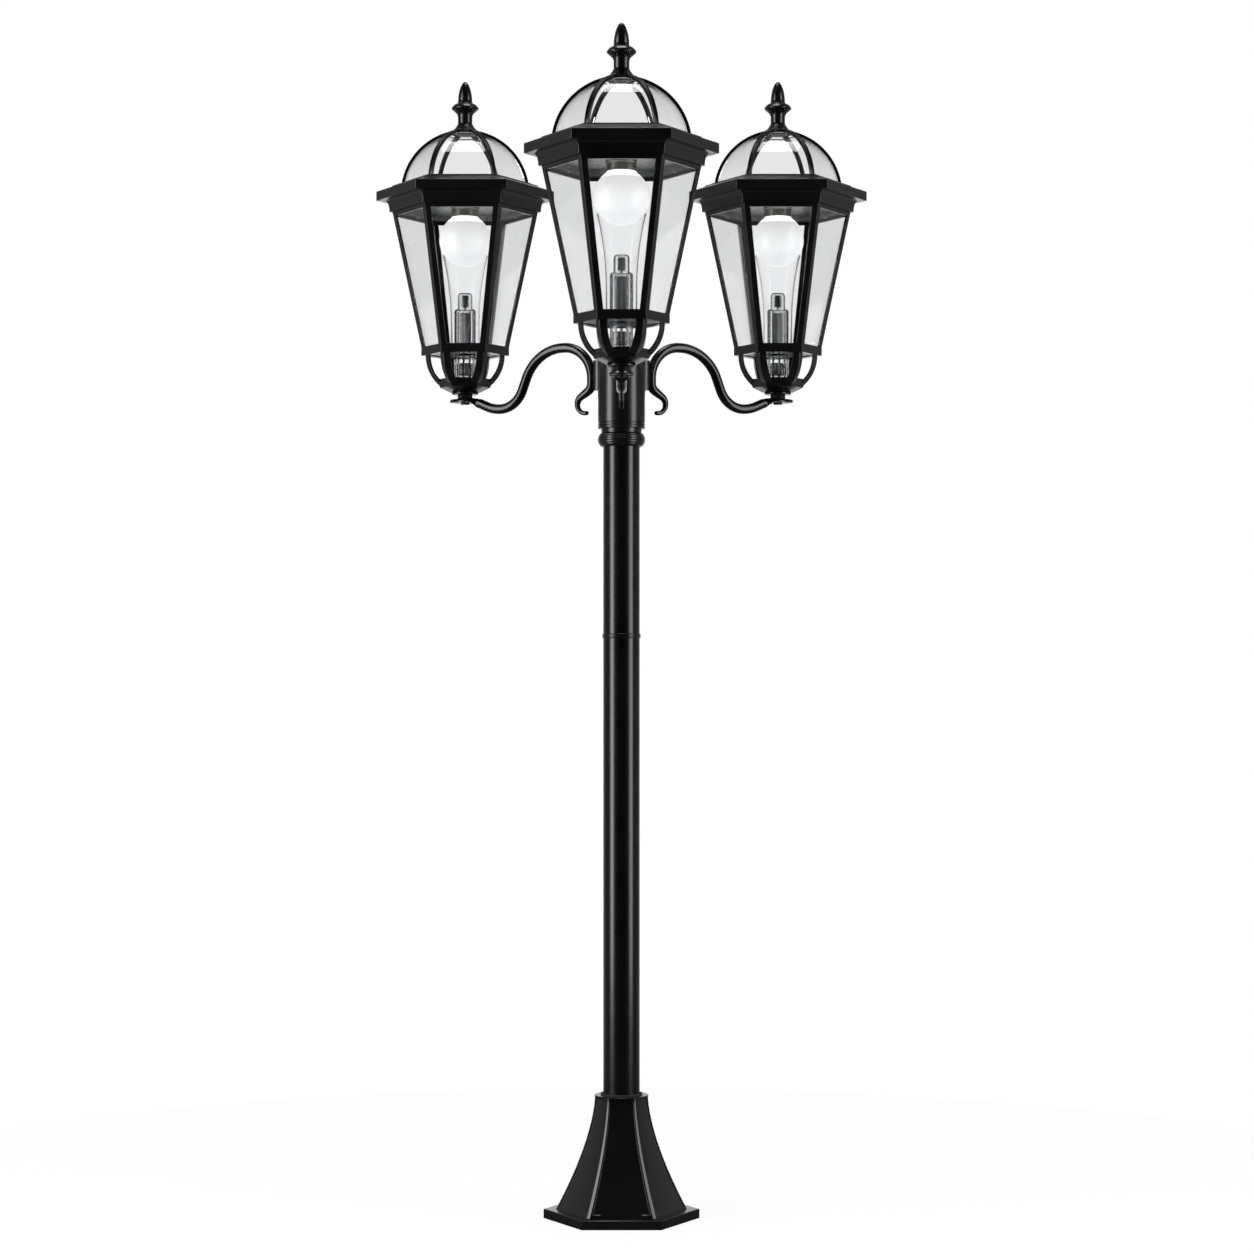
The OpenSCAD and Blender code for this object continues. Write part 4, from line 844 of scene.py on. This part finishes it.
cage = spun([
    (69.3, RING_Z), (84.6, RING_Z), (RING_R, RING_Z + 0.9), (RING_R, CAGE_Z - 0.9), (84.8, CAGE_Z),
    (80.9, CAGE_Z), (80.7, 100), (76.3, 100), (76.3, 86), (69.3, 86)
], steps=6)
rim = spun([(134.6, 355), (cage_r(355), 355), (CAGE_TOP_R, ROOF_Z), (134.6, ROOF_Z)], steps=6)
POST_WING, POST_T, POST_LOW, POST_HIGH = 11.0, 4.0, 98, 355.1
along = Vector((-sin(radians(30)), cos(radians(30))))
inward = Vector((-1, 0)) * (POST_T / FLAT)
corner = Vector((cage_r(POST_LOW), 0))
wing = corner + along * POST_WING
inner_wing = wing + Vector((-cos(radians(30)), -sin(radians(30)))) * POST_T
mirror = Vector((1, -1))
post_outline = [corner, wing, inner_wing, corner + inward, inner_wing * mirror, wing * mirror]
post_h = POST_HIGH - POST_LOW
post = prism(post_outline, POST_LOW, (post_h * CAGE_SLOPE, 0, post_h))
add_shell(cage, rim)
add_shell(cage, six_copies(post))
set_lanterns("cage", cage, black_casting, "black_casting", "cage_{side}", edge=0.5)

# %% [markdown]
# ## The roof
#
# The roof is one hollow casting: a hollow cornice that flares to the eave, an upright edge, a low
# slope and a flat deck. One outline of both its outside and its inside is spun in six steps. The
# slide switch's slot is then cut into the far side: the faces there are divided by planes, and the
# small rectangle between them is taken out of both skins and walled in.

# %% Roof casting
SOFFIT_Z, EAVE_Z, SLOPE_Z, DECK_Z = 385.0, 403.0, 413.0, 415.0
CORNICE_R, CORNICE_TOP_R, EAVE_R, DECK_R = 147.5, 156.0, 173.0, 142.0
WALL = 3 / FLAT
cornice = [
    (blend(CORNICE_R, CORNICE_TOP_R, 1 - sqrt(1 - (i / 10) ** 2)), blend(ROOF_Z, SOFFIT_Z, i / 10))
    for i in range(11)
]
cavity = [
    (5, DECK_Z - 3), (DECK_R - WALL, DECK_Z - 3), (DECK_R - WALL, SLOPE_Z - 3), (EAVE_R - WALL, EAVE_Z - 3),
    (EAVE_R - WALL, SOFFIT_Z + 3), (CORNICE_R - 2 * WALL, SOFFIT_Z + 3), (CORNICE_R - 2 * WALL, ROOF_Z + 6),
    (118.4, ROOF_Z + 6), (118.4, ROOF_Z),
]
eave = [(EAVE_R, SOFFIT_Z), (EAVE_R, EAVE_Z), (DECK_R, SLOPE_Z), (DECK_R, DECK_Z), (5, DECK_Z)]
roof = spun(cornice + eave + cavity, steps=6)


# %% Slot for the switch, in the far side's soffit
def cut_slot(bm, low, high, heights):
    """Cuts a rectangular slot through the level faces at two heights."""
    for axis, at in ((0, low[0]), (0, high[0]), (1, low[1]), (1, high[1])):
        level = [
            face for face in bm.faces
            if abs(face.normal.z) > 0.99 and min(abs(face.calc_center_median().z - z) for z in heights) < 0.1
            and face.calc_center_median().y > 100
        ]
        geom = level + list({edge for face in level for edge in face.edges})
        geom += list({vert for face in level for vert in face.verts})
        normal = (1, 0, 0) if axis == 0 else (0, 1, 0)
        place = tuple(n * at for n in normal)
        bmesh.ops.bisect_plane(bm, geom=geom, dist=0.001, plane_co=place, plane_no=normal)
    hole = [
        face for face in bm.faces
        if abs(face.normal.z) > 0.99 and low[0] < face.calc_center_median().x < high[0]
        and low[1] < face.calc_center_median().y < high[1]
        and min(abs(face.calc_center_median().z - z) for z in heights) < 0.1
    ]
    around = {edge for face in hole for edge in face.edges}
    rims = [edge for edge in around if sum(f in hole for f in edge.link_faces) == 1]
    bmesh.ops.delete(bm, geom=hole, context="FACES")
    bmesh.ops.bridge_loops(bm, edges=rims)
    bmesh.ops.recalc_face_normals(bm, faces=bm.faces)
    return len(hole)


knob_low, knob_high = (corner / MM - PLACES["front"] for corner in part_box("switch_front"))
KNOB_A = (knob_low.y + knob_high.y) / 2
SLOT_X, SLOT_Y, SKIN = 7.3, 3, 3
slot_faces = cut_slot(
    roof, (-SLOT_X, KNOB_A - SLOT_Y), (SLOT_X, KNOB_A + SLOT_Y), (SOFFIT_Z, SOFFIT_Z + SKIN)
)
print("slot faces cut:", slot_faces)
set_lanterns("roof", roof, black_casting, "black_casting", "roof_{side}", edge=1.1)

# %% [markdown]
# ## The dome
#
# Six ribs rise from a six-sided foot ring to a round crown. Each rib is a channel: two raised edges
# with a sunk middle, which shows as a double line. Its section is spun about a level axis through
# the dome's middle. The panes bend only one way, so each is an arc that is extruded sideways and
# trimmed by two planes along the ribs, and gets its thickness last.

# %% Foot ring, channel ribs and crown
DOME_MID_Z, DOME_R = 398.0, 125.0
CROWN_TOP_Z = DOME_MID_Z + DOME_R - 1.5
foot_r = sqrt(DOME_R**2 - (DECK_Z - DOME_MID_Z) ** 2)
dome = spun([
    (foot_r - 12, DECK_Z), (foot_r + 5, DECK_Z), (foot_r + 5, DECK_Z + 4), (foot_r - 12, DECK_Z + 4)
], steps=6)
channel = [(-6, -4.25), (0, -4.25), (0, -2.4), (-2, -1.9), (-2, 1.9), (0, 2.4), (0, 4.25), (-6, 4.25)]
low_angle = degrees(asin((DECK_Z - DOME_MID_Z) / DOME_R))
high_angle = degrees(acos(22 / DOME_R))
dome_rib = bowed(
    [(DOME_R + r, y) for r, y in channel], Vector((0, 0, DOME_MID_Z)), low_angle - 1,
    high_angle - low_angle + 1, 30
)
crown = spun([
    (0, CROWN_TOP_Z - 7), (26, CROWN_TOP_Z - 7), (27, CROWN_TOP_Z - 6), (27, CROWN_TOP_Z - 3.4),
    (26.2, CROWN_TOP_Z - 2.8), (26.2, CROWN_TOP_Z - 2.2), (25.4, CROWN_TOP_Z - 0.6), (24.4, CROWN_TOP_Z),
    (0, CROWN_TOP_Z)
], closed=False)
add_shell(dome, six_copies(dome_rib))
add_shell(dome, crown)
set_lanterns("dome_frame", dome, black_casting, "black_casting", "dome_frame_{side}", edge=0.35)

# %% Curved dome panes
PANE_R = DOME_R - 6.3
low_angle = degrees(asin((DECK_Z + 4.4 - DOME_MID_Z) / PANE_R))
high_angle = degrees(acos(29 / FLAT / PANE_R))
pane = bmesh.new()
pane_arc = [
    pane.verts.new((PANE_R * cos(a) * FLAT, -90, DOME_MID_Z + PANE_R * sin(a)))
    for a in [radians(blend(low_angle, high_angle, i / 28)) for i in range(29)]
]
arc_edges = [pane.edges.new(pair) for pair in zip(pane_arc, pane_arc[1:])]
grown = bmesh.ops.extrude_edge_only(pane, edges=arc_edges)
bmesh.ops.translate(pane, verts=verts_of(grown), vec=(0, 180, 0))
for hand in (1, -1):
    bmesh.ops.bisect_plane(
        pane, geom=pane.verts[:] + pane.edges[:] + pane.faces[:], dist=0.001, plane_co=(2.4, 0, 0),
        plane_no=(-sin(radians(30)), hand * cos(radians(30)), 0), clear_outer=True,
    )
bmesh.ops.recalc_face_normals(pane, faces=pane.faces)
pane.normal_update()
if sum(face.normal.z for face in pane.faces) < 0:
    bmesh.ops.reverse_faces(pane, faces=pane.faces)
bmesh.ops.solidify(pane, geom=pane.faces[:], thickness=2.5)
bmesh.ops.recalc_face_normals(pane, faces=pane.faces)
print("pane reaches", max(vert.co.xz.length for vert in pane.verts), "mm from the middle line")
bmesh.ops.rotate(pane, verts=pane.verts, cent=(0, 0, 0), matrix=Matrix.Rotation(radians(30), 3, "Z"))
six_copies(pane)
set_lanterns("dome_panes", pane, dome_glass, "clear_glass", "dome_panes_{side}", sharp=60)

# %% [markdown]
# ## The finial
#
# The finial is turned: a flared foot, a neck, a round-edged collar and a blunt spire. Its outline
# is a smooth line through a few points that were read from the photograph's outline of it.


# %% Turned finial
def curved(points, steps=4):
    """A smooth line through the points of an outline."""
    ends = [points[0]] + points + [points[-1]]
    line = []
    for a, b, c, d in zip(ends, ends[1:], ends[2:], ends[3:]):
        for t in [i / steps for i in range(steps)]:
            line.append(tuple(
                0.5 * (
                    2 * q + (r - p) * t + (2 * p - 5 * q + 4 * r - s) * t**2
                    + (3 * q - p - 3 * r + s) * t**3
                )
                for p, q, r, s in zip(a, b, c, d)
            ))
    return line + [points[-1]]


# the tip ends a hair under the CAD model's, so that rounding can't carry it past the CAD box
TIP_GAP = 0.05
FINIAL_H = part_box("finial_front")[1].z / MM - SEAT_Z - CROWN_TOP_Z - TIP_GAP
SPIRE_R = 14.0
spire_z = 0.558 * FINIAL_H
foot_to_collar = curved([
    (22, 1.5), (19.3, 4.5), (16.2, 9), (14.1, 13.5), (14.1, 20), (14.1, 26.6), (16, 31.8), (19.6, 35.4),
    (23.9, 39), (26, 41.1), (26.5, 42.6), (26, 44), (24.7, 46), (21.1, 49.6), (15.7, 52.3)
])
bead = [(14.6, spire_z), (14.6, spire_z + 1.6), (13.9, spire_z + 2.4)]
spire = [
    (SPIRE_R * cos(t) ** 1.1, blend(spire_z, FINIAL_H, sin(t)))
    for t in [radians(90 * i / 24) for i in range(2, 25)]
]
finial_outline = [(0, 0), (21.5, 0), (22, 0.5)] + foot_to_collar + bead + spire
finial = spun([(r, CROWN_TOP_Z + z) for r, z in finial_outline], steps=64, closed=False)
set_lanterns("finial", finial, black_paint, "black_casting", "finial_{side}", sharp=45)

# %% [markdown]
# ## The light
#
# A round opal bulb hangs in a metal socket under the ceiling plate. Below it a clear chimney opens
# out like a funnel, and a fluted glass column stands in the cup and ends inside the chimney. The
# column's flutes are a circle whose points are moved in at every flute before it is extruded. A
# darker core stands inside it and shows through the clear glass. Three grey drums on a thin stem
# stand for it. Their grey, streaked upright, is painted shade and painted reflection: it stands in
# for the dark and light lines that the flutes show. It stands for the same CAD node as the glass.

# %% Socket, bulb and chimney
PAN_TOP_Z = 371.0
SOCKET_Z = PAN_TOP_Z - 19
socket = spun([
    (20.3, SOCKET_Z + 15), (20.3, SOCKET_Z + 0.6), (20.9, SOCKET_Z), (26.2, SOCKET_Z), (27.2, SOCKET_Z + 0.5),
    (27.6, SOCKET_Z + 1.6), (27.2, SOCKET_Z + 2.8), (26.4, SOCKET_Z + 3.4), (26.4, SOCKET_Z + 15),
    (28, SOCKET_Z + 16), (28, PAN_TOP_Z), (7, PAN_TOP_Z), (7, SOCKET_Z + 15)
])
set_lanterns("lamp_socket", socket, socket_metal, "socket_metal", "lamp_sockets", edge=0.3)
BULB_R, NECK = 50.0, 20.0
BULB_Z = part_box("bulb_front")[0].z / MM - SEAT_Z + BULB_R
neck_angle = degrees(asin(NECK / BULB_R))
bulb = spun(
    arc(0, BULB_Z, BULB_R, -90, 90 - neck_angle - 6, 44)
    + [(NECK + 1.2, BULB_Z + 47.2), (NECK, BULB_Z + 49.5), (NECK, PAN_TOP_Z - 5), (0, PAN_TOP_Z - 5)],
    closed=False,
)
set_lanterns("bulb", bulb, opal, "opal_glass", "bulb_{side}", sharp=60)
CHIMNEY_Z, TUBE_LEN, TUBE_R, GLASS_T = 87.2, 62.0, 28.0, 1.3
rim_z = BULB_Z - 30
rim_r = sqrt(BULB_R**2 - 30**2) + 4
bell = [(blend(TUBE_R, rim_r, (i / 20) ** 2), blend(CHIMNEY_Z + TUBE_LEN, rim_z, i / 20)) for i in range(21)]
chimney = spun(
    [(TUBE_R, CHIMNEY_Z)] + bell[:-1] + [(rim_r, rim_z - 0.8), (rim_r - 0.6, rim_z), (rim_r - 1.5, rim_z)]
    + [(r - GLASS_T, z) for r, z in bell[-2::-1]] + [(TUBE_R - GLASS_T, CHIMNEY_Z)]
)
set_lanterns("chimney", chimney, lamp_glass, "clear_glass", "chimney_{side}", sharp=50)

# %% Fluted glass column and its core
COLUMN_R, COLUMN_Z, COLUMN_TOP, COLUMN_WALL, FLUTE_DEPTH = 21.0, 30.0, 171.0, 3.6, 1.5
FLUTES = 14
column = bmesh.new()
for vert in bmesh.ops.create_circle(column, segments=FLUTES * 8, radius=COLUMN_R)["verts"]:
    groove = abs(cos(atan2(vert.co.y, vert.co.x) * FLUTES / 2)) ** 0.7
    vert.co *= (COLUMN_R - FLUTE_DEPTH * (1 - groove)) / COLUMN_R
bmesh.ops.create_circle(column, segments=FLUTES * 8, radius=COLUMN_R - COLUMN_WALL)
bmesh.ops.bridge_loops(column, edges=column.edges[:])
bmesh.ops.translate(column, verts=column.verts, vec=(0, 0, COLUMN_Z))
grown = bmesh.ops.extrude_face_region(column, geom=column.faces[:])
bmesh.ops.translate(column, verts=verts_of(grown), vec=(0, 0, COLUMN_TOP - 0.3 - COLUMN_Z))
bmesh.ops.recalc_face_normals(column, faces=column.faces)
cap = [
    (0, 34), (11.5, 34), (13.5, 31.5), (14.5, 29), (14.5, 3), (19.5, 2), (19.5, 0), (12.3, 0), (12.3, 29),
    (10.8, 31.8), (0, 32)
]
add_shell(column, spun([(r, COLUMN_TOP + z) for r, z in cap], steps=48, closed=False))
set_lanterns("glass_column", column, fluted_glass, "clear_glass", "glass_column_{side}", edge=0.3)
STEM_R = 1.6
core = spun([
    (0, 30.2), (STEM_R, 30.2),
    (STEM_R, 44.5), (14.6, 44.5), (15.2, 45.5), (15.2, 67.5), (14.4, 68.8), (STEM_R, 68.8),
    (STEM_R, 100), (10.5, 101), (10.5, 165), (9.8, 166.4), (STEM_R, 166.4),
    (STEM_R, 178.4), (7.1, 178.4), (7.5, 179), (7.5, 199), (6.8, 200.2), (0, 200.2)
], steps=48, closed=False)
set_lanterns("column_core", core, core_painted_flute_shade, "clear_glass", "glass_column_{side}")

# %% [markdown]
# ## Camera, floor and light
#
# The photograph was taken at about waist height from 5.7 m away, with a long lens. The lens is
# shifted a little, so that uprights stay upright. Two tall softboxes give the two long highlights
# on the pole, and a small one overhead lights the roofs. Behind the lamp the studio is white, and in
# front of it dark, which keeps the black paint deep in the middle and bright along its edges. Two
# things aren't as in a real studio: the floor is dark in reflections, though white to the camera, and
# the white seen through glass is left out of reflections.

# %% Camera
IMAGE = 1254
FOCAL = 3000
camera_data = bpy.data.cameras.new("camera")
camera_data.sensor_width = 36
camera_data.lens = 36 * FOCAL / IMAGE
camera_data.shift_x = (627 - 621.5) / IMAGE
camera_data.shift_y = (680 - 627) / IMAGE
camera_data.clip_end = 100
camera = bpy.data.objects.new("camera", camera_data)
camera.location = (0, -5.655, 1.014)
camera.rotation_euler = (pi / 2, 0, 0)
bpy.context.scene.collection.objects.link(camera)
bpy.context.scene.camera = camera

# %% Floor
floor_bm = bmesh.new()
bmesh.ops.create_circle(floor_bm, cap_ends=True, segments=96, radius=1.8)
floor_mesh = bpy.data.meshes.new("floor")
floor_bm.to_mesh(floor_mesh)
floor_bm.free()
floor = bpy.data.objects.new("floor", floor_mesh)
bpy.context.scene.collection.objects.link(floor)
floor_paint = bpy.data.materials.new("floor_paint")
floor_paint.use_nodes = True
tree = floor_paint.node_tree
shader = tree.nodes["Principled BSDF"]
shader.inputs["Roughness"].default_value = 0.9
mirrored = tree.nodes.new("ShaderNodeLightPath")
shade = tree.nodes.new("ShaderNodeMix")
shade.data_type = "RGBA"
shade.inputs["A"].default_value = (0.85, 0.85, 0.85, 1)
shade.inputs["B"].default_value = (0.04, 0.04, 0.04, 1)
tree.links.new(mirrored.outputs["Is Glossy Ray"], shade.inputs["Factor"])
tree.links.new(shade.outputs["Result"], shader.inputs["Base Color"])
white = tree.nodes.new("ShaderNodeEmission")
white.inputs["Strength"].default_value = 1
seen = tree.nodes.new("ShaderNodeLightPath")
lit = tree.nodes.new("ShaderNodeMixShader")
SELF_LIT = 0.88
tree.links.new(maths(tree, "MULTIPLY", seen.outputs["Is Camera Ray"], SELF_LIT), lit.inputs["Fac"])
tree.links.new(shader.outputs["BSDF"], lit.inputs[1])
tree.links.new(white.outputs["Emission"], lit.inputs[2])
tree.links.new(lit.outputs["Shader"], tree.nodes["Material Output"].inputs["Surface"])
floor_mesh.materials.append(floor_paint)


# %% Softboxes
def softbox(name, azimuth, distance, width, height, middle_z, radiance):
    """A soft light at an angle from the camera's side, turned towards the post."""
    data = bpy.data.lights.new(name, "AREA")
    data.shape = "RECTANGLE"
    data.size, data.size_y = width, height
    data.energy = radiance * pi * width * height
    lamp = bpy.data.objects.new(name, data)
    bpy.context.scene.collection.objects.link(lamp)
    angle = radians(azimuth)
    lamp.location = (distance * sin(angle), -distance * cos(angle), middle_z)
    lamp.rotation_euler = (pi / 2, 0, angle)
    return lamp


softbox("softbox_left", -62, 2.6, 1.0, 3.2, 1.75, 5.8)
softbox("softbox_right", 62, 2.6, 1.0, 3.2, 1.75, 4.1)
overhead = softbox("softbox_overhead", 0, 0, 0.9, 0.9, 3.8, 5.5)
overhead.rotation_euler = (0, 0, 0)

# %% World: white behind the lamp, dark in front of it
world = bpy.data.worlds.new("studio")
bpy.context.scene.world = world
world.use_nodes = True
tree = world.node_tree
background = tree.nodes["Background"]
seen = tree.nodes.new("ShaderNodeLightPath")
direction = tree.nodes.new("ShaderNodeTexCoord")
axes = tree.nodes.new("ShaderNodeSeparateXYZ")
tree.links.new(direction.outputs["Generated"], axes.inputs["Vector"])
levels = []
for lowest, highest, dim, bright in ((-0.2, 0.5, 0.008, 0.21), (0.8, 0.93, 0.0, 1.0)):
    level = tree.nodes.new("ShaderNodeMapRange")
    for socket, value in (("From Min", lowest), ("From Max", highest), ("To Min", dim), ("To Max", bright)):
        level.inputs[socket].default_value = value
    tree.links.new(axes.outputs["Y"], level.inputs["Value"])
    levels.append(level.outputs["Result"])
FILL = 0.8
fill = maths(tree, "MULTIPLY", seen.outputs["Is Diffuse Ray"], FILL)
# light that left through glass after a reflection belongs to the reflection
unmirrored = maths(tree, "LESS_THAN", seen.outputs["Glossy Depth"], 0.5)
through = maths(tree, "MULTIPLY", seen.outputs["Is Transmission Ray"], unmirrored)
studio = levels[0]
for other in (levels[1], fill, seen.outputs["Is Camera Ray"], through):
    studio = maths(tree, "MAXIMUM", studio, other)
tree.links.new(studio, background.inputs["Strength"])
background.inputs["Color"].default_value = (1, 1, 1, 1)
bpy.context.scene.view_settings.view_transform = "Standard"
